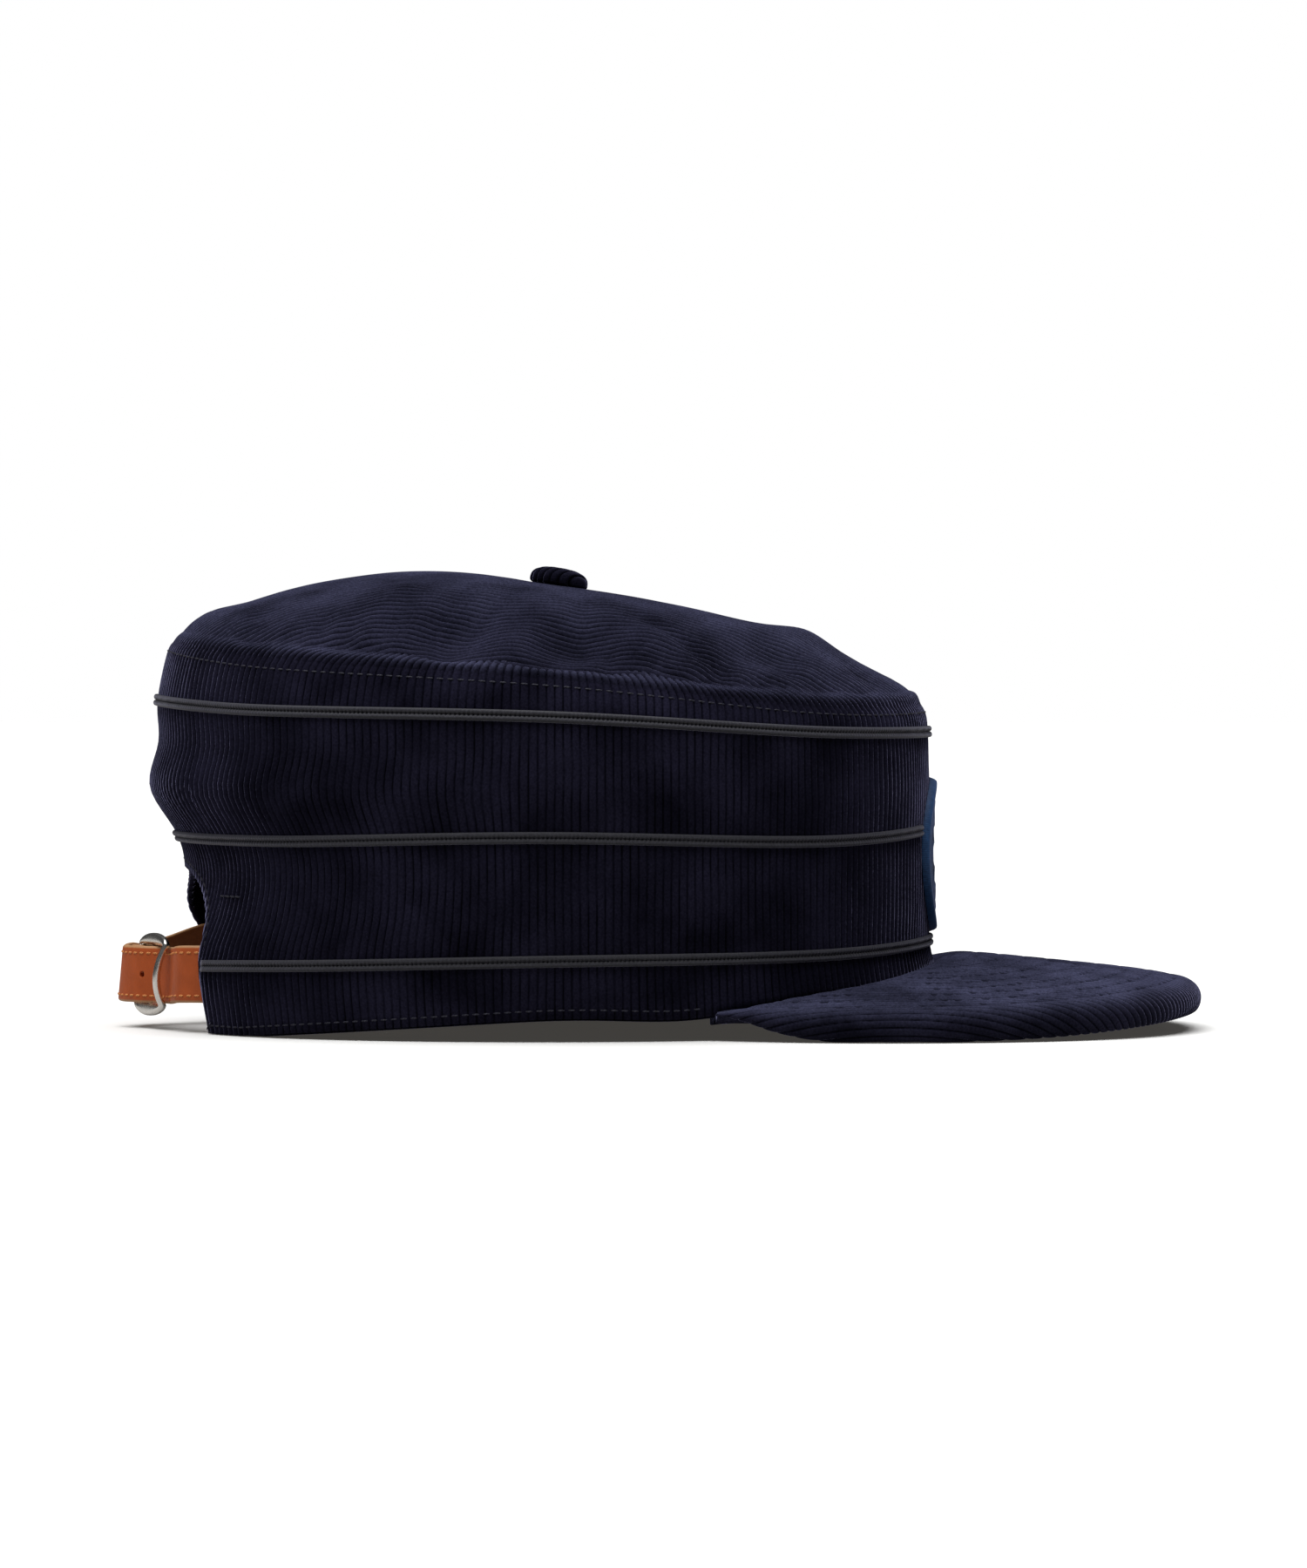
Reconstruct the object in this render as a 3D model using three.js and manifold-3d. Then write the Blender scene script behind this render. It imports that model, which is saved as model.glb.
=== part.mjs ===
// A corduroy pillbox cap with a stitched brim, three rows of twin-cord braid and a leather strap at the back.
// Millimetres, +Z up, the brim points to -Y and the wearer's right is -X. Angles go round from the front.
import * as THREE from "three";
import { mergeVertices } from "three/addons/utils/BufferGeometryUtils.js";
import Module from "manifold-3d";

// Crown
const crownLength = 200;
const crownWidth = 170;
const crownHeight = 115.6;
const clothWall = 2;
const seamGap = 0.3;
const foldDepth = 2;
const buttonDiameter = 15;
const buttonHeight = 5.4;
const buttonSquareness = 2.6;

// Arched opening at the back
const archWidth = 80;
const archHeight = 41;
const archSquareness = 3;

// Braid and front motif
const braidWidth = 2.9;
const braidThickness = 1.2;
const patchWidth = 42;
const patchHeight = 39;
const patchThickness = 2;

// Brim
const brimReach = 81.7;
const brimWidth = 176;
const brimMiddle = 85;
const brimThickness = 5;
const brimCurve = 3.8;
const brimLip = 2;
const brimTipLift = 4.6;
const brimTipSweep = 2.4;
const brimCornerLift = 4.6;
const brimCornerSweep = 1.6;
const brimCornerThickness = 2.4;
const brimHalfAngle = 65;
const brimSquareness = 2.2;

// Strap and buckle
const strapWidth = 14.4;
const strapCentreHeight = 14.6;
const strapCant = 4.5;
const strapLean = 5;
const tongueThickness = 1.8;
const keeperThickness = 1.3;
const strapBulge = 24.3;
const strapTail = 10;
const holeDiameter = 1.6;
const buckleLength = 24;
const buckleHeight = 21;
const buckleTurn = 20;
const buckleWire = 1.8;
const buckleLobe = 2.6;
const buckleBow = 2;
const foldSlack = 0.25;

// Sections stand at every few degrees round the cap.
const stationAngle = 5;
const stations = 360 / stationAngle;

// Heights are shares of crownHeight, reaches are shares of half the crown's length or width.
const bandLevels = [
  { level: "hem", front: 0.143, frontCorner: 0.087, side: 0.048, backCorner: 0.006, back: -0.03,
    reachFront: 0.99, reachSide: 0.985, reachBack: 0.948 },
  { level: "bottomBraid", front: 0.194, frontCorner: 0.175, side: 0.169, backCorner: 0.152, back: 0.14,
    reachFront: 0.978, reachSide: 0.992, reachBack: 0.97 },
  { level: "lowWaist", front: 0.277, frontCorner: 0.268, side: 0.264, backCorner: 0.26, back: 0.26,
    reachFront: 0.98, reachSide: 0.998, reachBack: 0.93 },
  { level: "aboveArch", front: 0.355, frontCorner: 0.344, side: 0.349, backCorner: 0.342, back: 0.346,
    reachFront: 0.98, reachSide: 1, reachBack: 0.916 },
  { level: "middleBraid", front: 0.441, frontCorner: 0.418, side: 0.429, backCorner: 0.419, back: 0.424,
    reachFront: 0.978, reachSide: 0.996, reachBack: 0.936 },
  { level: "bulge", front: 0.519, frontCorner: 0.502, side: 0.519, backCorner: 0.519, back: 0.529,
    reachFront: 0.978, reachSide: 1.002, reachBack: 1.006 },
  { level: "highWaist", front: 0.588, frontCorner: 0.58, side: 0.606, backCorner: 0.614, back: 0.632,
    reachFront: 0.976, reachSide: 1, reachBack: 1.002 },
  { level: "topBraid", front: 0.651, frontCorner: 0.65, side: 0.683, backCorner: 0.697, back: 0.721,
    reachFront: 0.974, reachSide: 0.99, reachBack: 0.992 },
  { level: "topStitch", front: 0.694, frontCorner: 0.69, side: 0.75, backCorner: 0.787, back: 0.829,
    reachFront: 0.967, reachSide: 0.95, reachBack: 0.96 },
  { level: "seam", front: 0.727, frontCorner: 0.718, side: 0.772, backCorner: 0.82, back: 0.852,
    reachFront: 0.942, reachSide: 0.93, reachBack: 0.936 },
];

// The soft top: its middle lies a share of half the length forward, and each row a share of the way to the
// seam. Heights are shares of crownHeight.
const topMiddle = { forward: 0.031, height: 0.963 };
const topRings = [
  { out: 0.2, front: 0.938, frontCorner: 0.952, side: 0.968, backCorner: 0.986, back: 0.994 },
  { out: 0.4, front: 0.912, frontCorner: 0.93, side: 0.951, backCorner: 0.981, back: 1 },
  { out: 0.6, front: 0.877, frontCorner: 0.893, side: 0.916, backCorner: 0.958, back: 0.98 },
  { out: 0.7, front: 0.864, frontCorner: 0.868, side: 0.893, backCorner: 0.938, back: 0.962 },
  { out: 0.8, front: 0.818, frontCorner: 0.836, side: 0.864, backCorner: 0.912, back: 0.937 },
  { out: 0.92, front: 0.763, frontCorner: 0.776, side: 0.815, backCorner: 0.866, back: 0.903 },
];

// Folds push the cloth out or in: depth is a share of foldDepth, tall a share of crownHeight, spread in
// degrees.
const bandFolds = [
  { fold: "rightBackCrease", angle: -146, height: 0.57, spread: 6, tall: 0.13, depth: -0.6 },
  { fold: "rightArchShoulder", angle: -154, height: 0.33, spread: 9, tall: 0.07, depth: -0.6 },
  { fold: "leftArchShoulder", angle: 155, height: 0.29, spread: 10, tall: 0.065, depth: 4.4 },
  { fold: "rightFrontDent", angle: -53, height: 0.32, spread: 13, tall: 0.1, depth: -0.4 },
  { fold: "rightFrontBulge", angle: -27, height: 0.54, spread: 9, tall: 0.1, depth: 0.35 },
  { fold: "leftSideDent", angle: 70, height: 0.5, spread: 20, tall: 0.16, depth: -0.5 },
  { fold: "leftBackBulge", angle: 132, height: 0.58, spread: 12, tall: 0.13, depth: 0.4 },
];
const topFolds = [
  { fold: "rightHollow", angle: -104, out: 0.78, spread: 8, long: 0.13, depth: -1.1 },
  { fold: "rightPleat", angle: -95, out: 0.84, spread: 4.5, long: 0.12, depth: 0.6 },
  { fold: "rightFrontHollow", angle: -85, out: 0.82, spread: 8, long: 0.12, depth: -0.9 },
  { fold: "rightBackSwell", angle: -128, out: 0.7, spread: 12, long: 0.15, depth: 0.5 },
  { fold: "frontRoll", angle: -8, out: 0.68, spread: 20, long: 0.07, depth: 0.4 },
  { fold: "rightCornerHollow", angle: -50, out: 0.8, spread: 10, long: 0.12, depth: -0.5 },
  { fold: "leftHollow", angle: 98, out: 0.79, spread: 10, long: 0.13, depth: -0.9 },
  { fold: "leftCornerSwell", angle: 58, out: 0.78, spread: 12, long: 0.13, depth: 0.4 },
  { fold: "leftBackHollow", angle: 140, out: 0.77, spread: 10, long: 0.12, depth: -0.6 },
];

// Across the brim from the band (0) to the edge (1): lift is a share of brimCurve.
const brimStations = [
  { across: 0.03, lift: 0.35 },
  { across: 0.09, lift: 0.85 },
  { across: 0.3, lift: 1 },
  { across: 0.55, lift: 0.97 },
  { across: 0.8, lift: 0.95 },
  { across: 0.93, lift: 0.7 },
];

// Strap places in plan: side is a share of half the arch's width at the strap, -1 on the wearer's right, out
// a share of strapBulge past the arch's edge, rise a share of strapCant.
const rearBarPlace = { side: 0.08, out: 0.84, rise: -0.22 };
const tongueStart = { side: -1, rise: 0 };
const tongueMiddle = { side: -0.76, out: 0.33, rise: -0.05 };
const tongueEnd = [
  { side: 0.28, out: 0.965, rise: -0.1 },
  { side: 0.42, out: 0.885, rise: 0 },
  { side: 0.54, out: 0.77, rise: 0.15 },
];
const keeperStart = { side: 1, rise: 1 };
const keeperRoute = [
  { side: 0.8, out: 0.34, rise: 0.65 },
  { side: 0.56, out: 0.625, rise: 0.15 },
  { side: 0.36, out: 0.775, rise: -0.1 },
];
const tongueHoles = [0.586, 0.88];

// Where the keeper reaches and leaves the rear bar, along and out from it as shares of the fold's radius.
const keeperFoldStart = { along: 1.2, out: -1 };
const keeperFoldEnd = [
  { along: 0.9, out: 0.9 },
  { along: 1.9, out: 0.2 },
];

const halfLength = crownLength / 2;
const halfWidth = crownWidth / 2;
const columns = ["front", "frontCorner", "side", "backCorner", "back"];
const columnAngle = 180 / (columns.length - 1);

const wasm = await Module();
wasm.setup();

const vector = (x, y, z) => new THREE.Vector3(x, y, z);
const radians = THREE.MathUtils.degToRad;
const bell = (distance) => Math.exp(-0.5 * distance * distance);
const roundAngle = (angle) => THREE.MathUtils.euclideanModulo(angle + 180, 360) - 180;

// A smooth value between a row's five columns, mirrored past the front and the back.
function aroundRow(row, angle) {
  const place = Math.abs(roundAngle(angle)) / columnAngle;
  const start = Math.min(Math.floor(place), columns.length - 2);
  const last = columns.length - 1;
  const valueAt = (k) => row[columns[k < 0 ? -k : k > last ? 2 * last - k : k]];
  const [before, from, to, after] = [-1, 0, 1, 2].map((step) => valueAt(start + step));
  const t = place - start;
  const slopeFrom = (to - before) / 2;
  const slopeTo = (after - from) / 2;
  return (
    from * (1 - 3 * t * t + 2 * t ** 3) +
    to * (3 * t * t - 2 * t ** 3) +
    slopeFrom * (t - 2 * t * t + t ** 3) +
    slopeTo * (t ** 3 - t * t)
  );
}

// The direction straight out of the cap in plan, at an angle round it.
function outward(angle) {
  return vector(Math.sin(radians(angle)), -Math.cos(radians(angle)), 0);
}

// A point of the band's outer face before its folds.
function bandOutline(level, angle) {
  const forward = Math.cos(radians(angle));
  const reach = forward > 0 ? level.reachFront : level.reachBack;
  return vector(
    level.reachSide * halfWidth * Math.sin(radians(angle)),
    -reach * halfLength * forward,
    Math.max(0, aroundRow(level, angle) * crownHeight),
  );
}

function bandFoldAt(angle, height) {
  let push = 0;
  for (const fold of bandFolds) {
    const aside = roundAngle(angle - fold.angle) / fold.spread;
    const above = (height / crownHeight - fold.height) / fold.tall;
    push += fold.depth * foldDepth * bell(aside) * bell(above);
  }
  return push;
}

// Unit normals of a grid of rings of points, turned away from the cap's middle.
function gridNormals(grid) {
  const middle = vector(0, 0, crownHeight / 3);
  return grid.map((ring, row) =>
    ring.map((point, i) => {
      const count = ring.length;
      const along = ring[(i + 1) % count].clone().sub(ring[(i + count - 1) % count]);
      const upper = grid[Math.min(row + 1, grid.length - 1)][i];
      const lower = grid[Math.max(row - 1, 0)][i];
      const normal = along.cross(upper.clone().sub(lower)).normalize();
      return normal.dot(point.clone().sub(middle)) < 0 ? normal.negate() : normal;
    }),
  );
}

// Points, triangles and outward faces of one closed body, whatever way round it was skinned.
function closedBody(points, faces) {
  const raw = new THREE.BufferGeometry();
  raw.setAttribute("position", new THREE.Float32BufferAttribute(points.flatMap((p) => [p.x, p.y, p.z]), 3));
  raw.setIndex(faces);
  const merged = mergeVertices(raw, 1e-3);
  const index = merged.index.array;
  const kept = [];
  let volume = 0;
  const corner = [vector(0, 0, 0), vector(0, 0, 0), vector(0, 0, 0)];
  for (let i = 0; i < index.length; i += 3) {
    const [a, b, c] = [index[i], index[i + 1], index[i + 2]];
    if (a === b || b === c || c === a) continue;
    kept.push(a, b, c);
    [a, b, c].forEach((k, n) => corner[n].fromBufferAttribute(merged.attributes.position, k));
    volume += corner[0].dot(corner[1].clone().cross(corner[2]));
  }
  merged.setIndex(volume < 0 ? kept.reverse() : kept);
  return merged;
}

// Skins a row of rings into one closed body. Each ring goes out along one side and comes back along the
// other, so the two ends of an open row are closed by a strip between the sides.
function loft(rings, closed) {
  const size = rings[0].length;
  const faces = [];
  const quad = (a, b, c, d) => faces.push(a, b, c, a, c, d);
  const spans = closed ? rings.length : rings.length - 1;
  for (let r = 0; r < spans; r++) {
    const here = r * size;
    const next = ((r + 1) % rings.length) * size;
    for (let k = 0; k < size; k++) {
      const step = (k + 1) % size;
      quad(here + k, here + step, next + step, next + k);
    }
  }
  if (!closed) {
    const end = (rings.length - 1) * size;
    for (let k = 0; k < size / 2 - 1; k++) {
      quad(size - 1 - k, size - 2 - k, k + 1, k);
      quad(end + k, end + k + 1, end + size - 2 - k, end + size - 1 - k);
    }
  }
  return closedBody(rings.flat(), faces);
}

function toSolid(geometry) {
  const bare = geometry.clone();
  for (const name of Object.keys(bare.attributes)) {
    if (name !== "position") bare.deleteAttribute(name);
  }
  const merged = mergeVertices(bare, 1e-3);
  return new wasm.Manifold(
    new wasm.Mesh({
      numProp: 3,
      vertProperties: Float32Array.from(merged.attributes.position.array),
      triVerts: Uint32Array.from(merged.index.array),
    }),
  );
}

function fromSolid(solid) {
  const result = solid.getMesh();
  const geometry = new THREE.BufferGeometry();
  geometry.setAttribute("position", new THREE.Float32BufferAttribute(result.vertProperties, 3));
  geometry.setIndex(Array.from(result.triVerts));
  return geometry;
}

function cutFrom(geometry, tools) {
  const solid = tools.reduce((left, tool) => left.subtract(toSolid(tool)), toSolid(geometry));
  return fromSolid(solid);
}

// The band's outer and inner faces, as rings of points from the hem up to the seam.
const bandOuter = bandLevels.map((level) =>
  Array.from({ length: stations }, (_, i) => bandOutline(level, i * stationAngle)),
);
const flatNormals = gridNormals(bandOuter);
bandOuter.forEach((ring, row) =>
  ring.forEach((point, i) => {
    const push = bandFoldAt(i * stationAngle, point.z);
    const away = flatNormals[row][i].clone().setZ(0).normalize();
    point.addScaledVector(away, row === 0 ? 0 : push);
  }),
);
const bandNormals = gridNormals(bandOuter);
const bandInner = bandOuter.map((ring, row) =>
  ring.map((point, i) => {
    const inner = point.clone().addScaledVector(bandNormals[row][i], -clothWall);
    return row === 0 ? inner.setZ(point.z) : inner;
  }),
);

const levelRow = (name) => bandLevels.findIndex((level) => level.level === name);

// A point between a grid's rings and stations, on the flat faces that join them.
function onGrid(grid, row, angle) {
  const place = THREE.MathUtils.euclideanModulo(angle / stationAngle, stations);
  const i = Math.floor(place);
  const low = Math.min(Math.floor(row), grid.length - 2);
  const side = (ring) => ring[i].clone().lerp(ring[(i + 1) % stations], place - i);
  return side(grid[low]).lerp(side(grid[low + 1]), row - low);
}

// The row of a grid that lies at a given height.
function rowAtHeight(grid, height, angle) {
  for (let row = 0; row < grid.length - 1; row++) {
    const low = onGrid(grid, row, angle).z;
    const high = onGrid(grid, row + 1, angle).z;
    if (height <= high) return row + Math.max(0, (height - low) / (high - low));
  }
  return grid.length - 1;
}

function archTool() {
  const shape = new THREE.Shape();
  const steps = 20;
  shape.moveTo(-archWidth / 2, -archHeight);
  for (let i = 0; i <= steps; i++) {
    const turn = Math.PI * (1 - i / steps);
    const share = 2 / archSquareness;
    const x = (archWidth / 2) * Math.sign(Math.cos(turn)) * Math.abs(Math.cos(turn)) ** share;
    shape.lineTo(x, archHeight * Math.sin(turn) ** share);
  }
  shape.lineTo(archWidth / 2, -archHeight);
  const tool = new THREE.ExtrudeGeometry(shape, { depth: crownLength, bevelEnabled: false });
  tool.rotateX(Math.PI / 2);
  tool.translate(0, crownLength * 1.2, 0);
  return tool;
}

function bandGeometry() {
  const rings = bandOuter[0].map((_, i) => [
    ...bandOuter.map((ring) => ring[i]),
    ...bandInner.map((ring) => ring[i]).reverse(),
  ]);
  return cutFrom(loft(rings, true), [archTool()]);
}

// A twin-cord braid lies on the band along one level, from one angle round to another.
function braidRings(levelName, fromAngle, toAngle) {
  const row = levelRow(levelName);
  const half = braidWidth / 2;
  const rings = [];
  for (let angle = fromAngle; angle <= toAngle; angle += stationAngle) {
    const middle = onGrid(bandOuter, row, angle);
    const normal = onGrid(bandNormals, row, angle).normalize();
    const above = onGrid(bandOuter, row + 1, angle);
    const below = onGrid(bandOuter, row - 1, angle);
    const up = middle.clone().lerp(above, half / middle.distanceTo(above));
    const down = middle.clone().lerp(below, half / middle.distanceTo(below));
    const raised = (point, share) =>
      point.clone().addScaledVector(normal, seamGap + braidThickness * share);
    const cord = (edge, share) => middle.clone().lerp(edge, share);
    rings.push([
      raised(down, 0), raised(middle, 0), raised(up, 0),
      raised(cord(up, 0.6), 1), raised(middle, 0.6), raised(cord(down, 0.6), 1),
    ]);
  }
  return rings;
}

function fullBraid(levelName) {
  return loft(braidRings(levelName, 0, 360 - stationAngle), true);
}

function partBraid(levelName, endAngle) {
  return loft(braidRings(levelName, endAngle, 360 - endAngle), false);
}

// The soft top: rings from the middle out to the seam on its outer face, and back along its inner face.
function topFoldAt(angle, out) {
  let push = 0;
  for (const fold of topFolds) {
    const aside = roundAngle(angle - fold.angle) / fold.spread;
    push += fold.depth * foldDepth * bell(aside) * bell((out - fold.out) / fold.long);
  }
  return push;
}

const topCentre = vector(0, -topMiddle.forward * halfLength, topMiddle.height * crownHeight);

function topGeometry() {
  const seamRow = bandLevels.length - 1;
  const lift = (grid, i) => {
    const rise = bandOuter[seamRow][i].clone().sub(bandOuter[seamRow - 1][i]).normalize();
    return grid[seamRow][i].clone().addScaledVector(rise, seamGap);
  };
  const outerRim = bandOuter[seamRow].map((_, i) => lift(bandOuter, i));
  const innerRim = bandInner[seamRow].map((_, i) => lift(bandInner, i));
  const outer = topRings.map((ring) =>
    outerRim.map((rim, i) => {
      const angle = i * stationAngle;
      const point = topCentre.clone().lerp(rim, ring.out);
      return point.setZ(aroundRow(ring, angle) * crownHeight + topFoldAt(angle, ring.out));
    }),
  );
  const normals = gridNormals([...outer, outerRim]);
  const inner = outer.map((ring, row) =>
    ring.map((point, i) => point.clone().addScaledVector(normals[row][i], -clothWall)),
  );
  const pole = (height) => outerRim.map(() => topCentre.clone().setZ(topCentre.z - height));
  return loft([pole(0), ...outer, outerRim, innerRim, ...inner.reverse(), pole(clothWall)], false);
}

// The button follows the slope of the top round its middle.
function buttonMesh(material) {
  const radius = buttonDiameter / 2;
  const profile = [vector(0, 0, 0), vector(radius * 0.86, 0, 0), vector(radius, buttonHeight * 0.3, 0)];
  const steps = 4;
  const power = 2 / buttonSquareness;
  for (let i = 1; i < steps; i++) {
    const turn = (Math.PI / 2) * (i / steps);
    const height = buttonHeight * (0.3 + 0.7 * Math.sin(turn) ** power);
    profile.push(vector(radius * Math.cos(turn) ** power, height, 0));
  }
  profile.push(vector(0, buttonHeight, 0));
  const geometry = new THREE.LatheGeometry(profile.map((p) => new THREE.Vector2(p.x, p.y)), 24);
  const mesh = namedMesh("crown_button", geometry.rotateX(Math.PI / 2), material);
  const nearRing = topRings[0];
  const ahead = nearRing.out * (bandLevels.at(-1).reachFront * halfLength);
  const behind = nearRing.out * (bandLevels.at(-1).reachBack * halfLength);
  const slope = ((nearRing.back - nearRing.front) * crownHeight) / (ahead + behind);
  mesh.rotation.x = Math.atan(slope);
  mesh.position.copy(topCentre).add(vector(0, 0, seamGap * 1.5));
  return mesh;
}

// The brim's outline in plan: an oval front, then a side that runs back to the band's corner.
const brimFrontShare = 50 / 65;

function brimOutline(angle) {
  const share = angle / brimHalfAngle;
  const side = Math.sign(angle);
  const widest = brimWidth / 2;
  if (Math.abs(share) <= brimFrontShare) {
    const turn = (Math.PI / 2) * (share / brimFrontShare);
    const power = 2 / brimSquareness;
    return vector(
      side * widest * Math.abs(Math.sin(turn)) ** power,
      -brimMiddle - brimReach * Math.cos(turn) ** power,
      0,
    );
  }
  const corner = onGrid(bandOuter, 0, side * brimHalfAngle).addScaledVector(
    outward(side * brimHalfAngle), brimLip);
  const back = (Math.abs(share) - brimFrontShare) / (1 - brimFrontShare);
  return vector(
    THREE.MathUtils.lerp(side * widest, corner.x, back ** brimSquareness),
    THREE.MathUtils.lerp(-brimMiddle, corner.y, back),
    0,
  );
}

// How near an angle is to the brim's rear corners, from 0 where it is widest to 1 at a corner.
function nearCorner(angle) {
  const near = THREE.MathUtils.smoothstep(Math.abs(angle) / brimHalfAngle, brimFrontShare + 0.04, 1);
  return near ** brimCornerSweep;
}

// How far the brim's edge stands above the ground: it touches at both sides and lifts to the tip and corners.
function brimEdgeLift(angle) {
  const ahead = Math.max(0, (-brimOutline(angle).y - brimMiddle) / brimReach);
  return brimTipLift * ahead ** brimTipSweep + brimCornerLift * nearCorner(angle);
}

function brimGeometry() {
  const rings = [];
  const longest = brimMiddle + brimReach - bandLevels[0].reachFront * halfLength;
  for (let angle = -brimHalfAngle; angle <= brimHalfAngle; angle += stationAngle) {
    const innerHem = onGrid(bandInner, 0, angle);
    const outerHem = onGrid(bandOuter, 0, angle);
    const edge = brimOutline(angle);
    const lift = brimEdgeLift(angle);
    const length = Math.hypot(edge.x - outerHem.x, edge.y - outerHem.y);
    const curve = brimCurve * (length / longest) ** 0.7;
    const thickness = THREE.MathUtils.lerp(brimThickness, brimCornerThickness, nearCorner(angle));
    const seat = outerHem.z - seamGap;
    const under = seat - thickness * 0.8;
    const inset = Math.min(thickness * 0.3, length * 0.3);
    const across = (share, low, high, rise) => {
      const point = outerHem.clone().lerp(edge, share);
      return point.setZ(THREE.MathUtils.lerp(low, high, share) + curve * rise);
    };
    const rim = (back, height) => {
      const inward = edge.clone().lerp(outerHem, back / Math.max(length, back));
      return inward.setZ(lift + thickness * height);
    };
    const top = lift + thickness;
    rings.push([
      innerHem.clone().setZ(seat),
      outerHem.clone().addScaledVector(outward(angle), seamGap).setZ(seat),
      ...brimStations.map((s) => across(s.across, seat, top, s.lift)),
      rim(inset, 1), rim(0, 0.68),
      rim(0, 0.32), rim(inset, 0),
      ...brimStations.map((s) => across(s.across, under, lift, s.lift)).reverse(),
      outerHem.clone().addScaledVector(outward(angle), seamGap).setZ(under),
      innerHem.clone().setZ(under),
    ]);
  }
  return loft(rings, false);
}

// A plain raised roundel of thread on the front of the band.
function patchGeometry() {
  const low = aroundRow(bandLevels[levelRow("bottomBraid")], 0) * crownHeight;
  const centreHeight = low + braidWidth / 2 + seamGap * 2 + patchHeight / 2;
  const halfTurn = THREE.MathUtils.radToDeg(Math.asin(patchWidth / crownWidth));
  const steps = 12;
  const levels = [-1, -0.5, 0, 0.5, 1];
  const rings = [];
  for (let i = 0; i <= steps; i++) {
    const place = -1 + (2 * i) / steps;
    const angle = place * halfTurn;
    const tall = (patchHeight / 2) * Math.sqrt(Math.max(0.04, 1 - place * place));
    const side = (share, raise) => {
      const row = rowAtHeight(bandOuter, centreHeight + tall * share, angle);
      const normal = onGrid(bandNormals, row, angle).setZ(0).normalize();
      return onGrid(bandOuter, row, angle).addScaledVector(normal, seamGap + raise);
    };
    const full = i === 0 || i === steps ? 0.5 : 1;
    const crown = (share) => side(share * 0.94, patchThickness * full * (1 - 0.25 * share * share));
    rings.push([...levels.map((share) => side(share, 0)), ...levels.map(crown).reverse()]);
  }
  return loft(rings, false);
}

// How far out the inside of the band lets a strap lie, at an angle, over the strap's whole height.
function insideSeat(angle, thickness, rise) {
  const away = outward(angle);
  const centre = strapCentreHeight + rise * strapCant;
  const inside = (height) => onGrid(bandInner, rowAtHeight(bandInner, height, angle), angle);
  const reaches = [-0.5, -0.25, 0, 0.25, 0.5].map((share) => inside(centre + share * strapWidth).dot(away));
  const atMiddle = inside(centre);
  const back = atMiddle.dot(away) - Math.min(...reaches) + seamGap * 1.6 + thickness / 2;
  return atMiddle.addScaledVector(away, -back).setZ(centre);
}

// Half the arch's width, and the angle of its edge, at the strap's upper edge.
const strapTopShare = (strapCentreHeight + strapWidth / 2) / archHeight;
const archHalfAtStrap = (archWidth / 2) * (1 - strapTopShare ** archSquareness) ** (1 / archSquareness);
const archEdgeAngle = 180 - THREE.MathUtils.radToDeg(Math.asin(archHalfAtStrap / halfWidth));
const archEdgeY = insideSeat(archEdgeAngle, tongueThickness, 0).y;

function strapPlace(stop) {
  return vector(
    stop.side * archHalfAtStrap,
    archEdgeY + stop.out * strapBulge,
    strapCentreHeight + stop.rise * strapCant,
  );
}

// The end of a strap that is sewn flat inside the band.
function strapTailLine(start, thickness) {
  const turn = THREE.MathUtils.radToDeg(strapTail / halfWidth);
  return [1, 0.5, 0].map((share) =>
    insideSeat(start.side * (archEdgeAngle - turn * share), thickness, start.rise),
  );
}

function strapGeometry(curve, thickness, steps, tipSteps) {
  const rings = [];
  for (let i = 0; i <= steps; i++) {
    const share = i / steps;
    const point = curve.getPointAt(share);
    const side = curve.getTangentAt(share).setZ(0).cross(vector(0, 0, 1)).normalize();
    const left = (steps - i) / tipSteps;
    const round = left < 1 ? Math.sqrt(1 - (1 - left) ** 2 * 0.75) : 1;
    const half = (strapWidth / 2) * round;
    const corner = (across, up) =>
      point.clone().addScaledVector(side, (across * thickness) / 2).add(vector(0, 0, up * half));
    rings.push([corner(1, -1), corner(1, 1), corner(-1, 1), corner(-1, -1)]);
  }
  return loft(rings, false);
}

// What hangs free behind the cap leans its top a little towards the crown.
function leanBack(geometry) {
  const position = geometry.attributes.position;
  const [leanFrom, leanTo] = [0.2, 0.7].map((share) => archEdgeY + strapBulge * share);
  for (let i = 0; i < position.count; i++) {
    const free = THREE.MathUtils.smoothstep(position.getY(i), leanFrom, leanTo);
    const above = position.getZ(i) - strapCentreHeight;
    position.setY(i, position.getY(i) - above * Math.tan(radians(strapLean)) * free);
  }
  return geometry;
}

// The buckle stands on its rear bar, turned a little to the wearer's right. The tongue goes under its near
// bar and over its rear bar.
const buckleAlong = vector(Math.cos(radians(buckleTurn)), Math.sin(radians(buckleTurn)), 0);
const buckleFace = vector(-Math.sin(radians(buckleTurn)), Math.cos(radians(buckleTurn)), 0);
const barSpan = buckleLength - buckleWire;
const rearBar = strapPlace(rearBarPlace);
const nearBar = rearBar.clone().addScaledVector(buckleAlong, -barSpan);
const barClearance = buckleWire / 2 + seamGap;
const foldRadius = barClearance + foldSlack + keeperThickness / 2;
const overBar = foldRadius + keeperThickness / 2 + foldSlack + seamGap + tongueThickness / 2;

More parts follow.
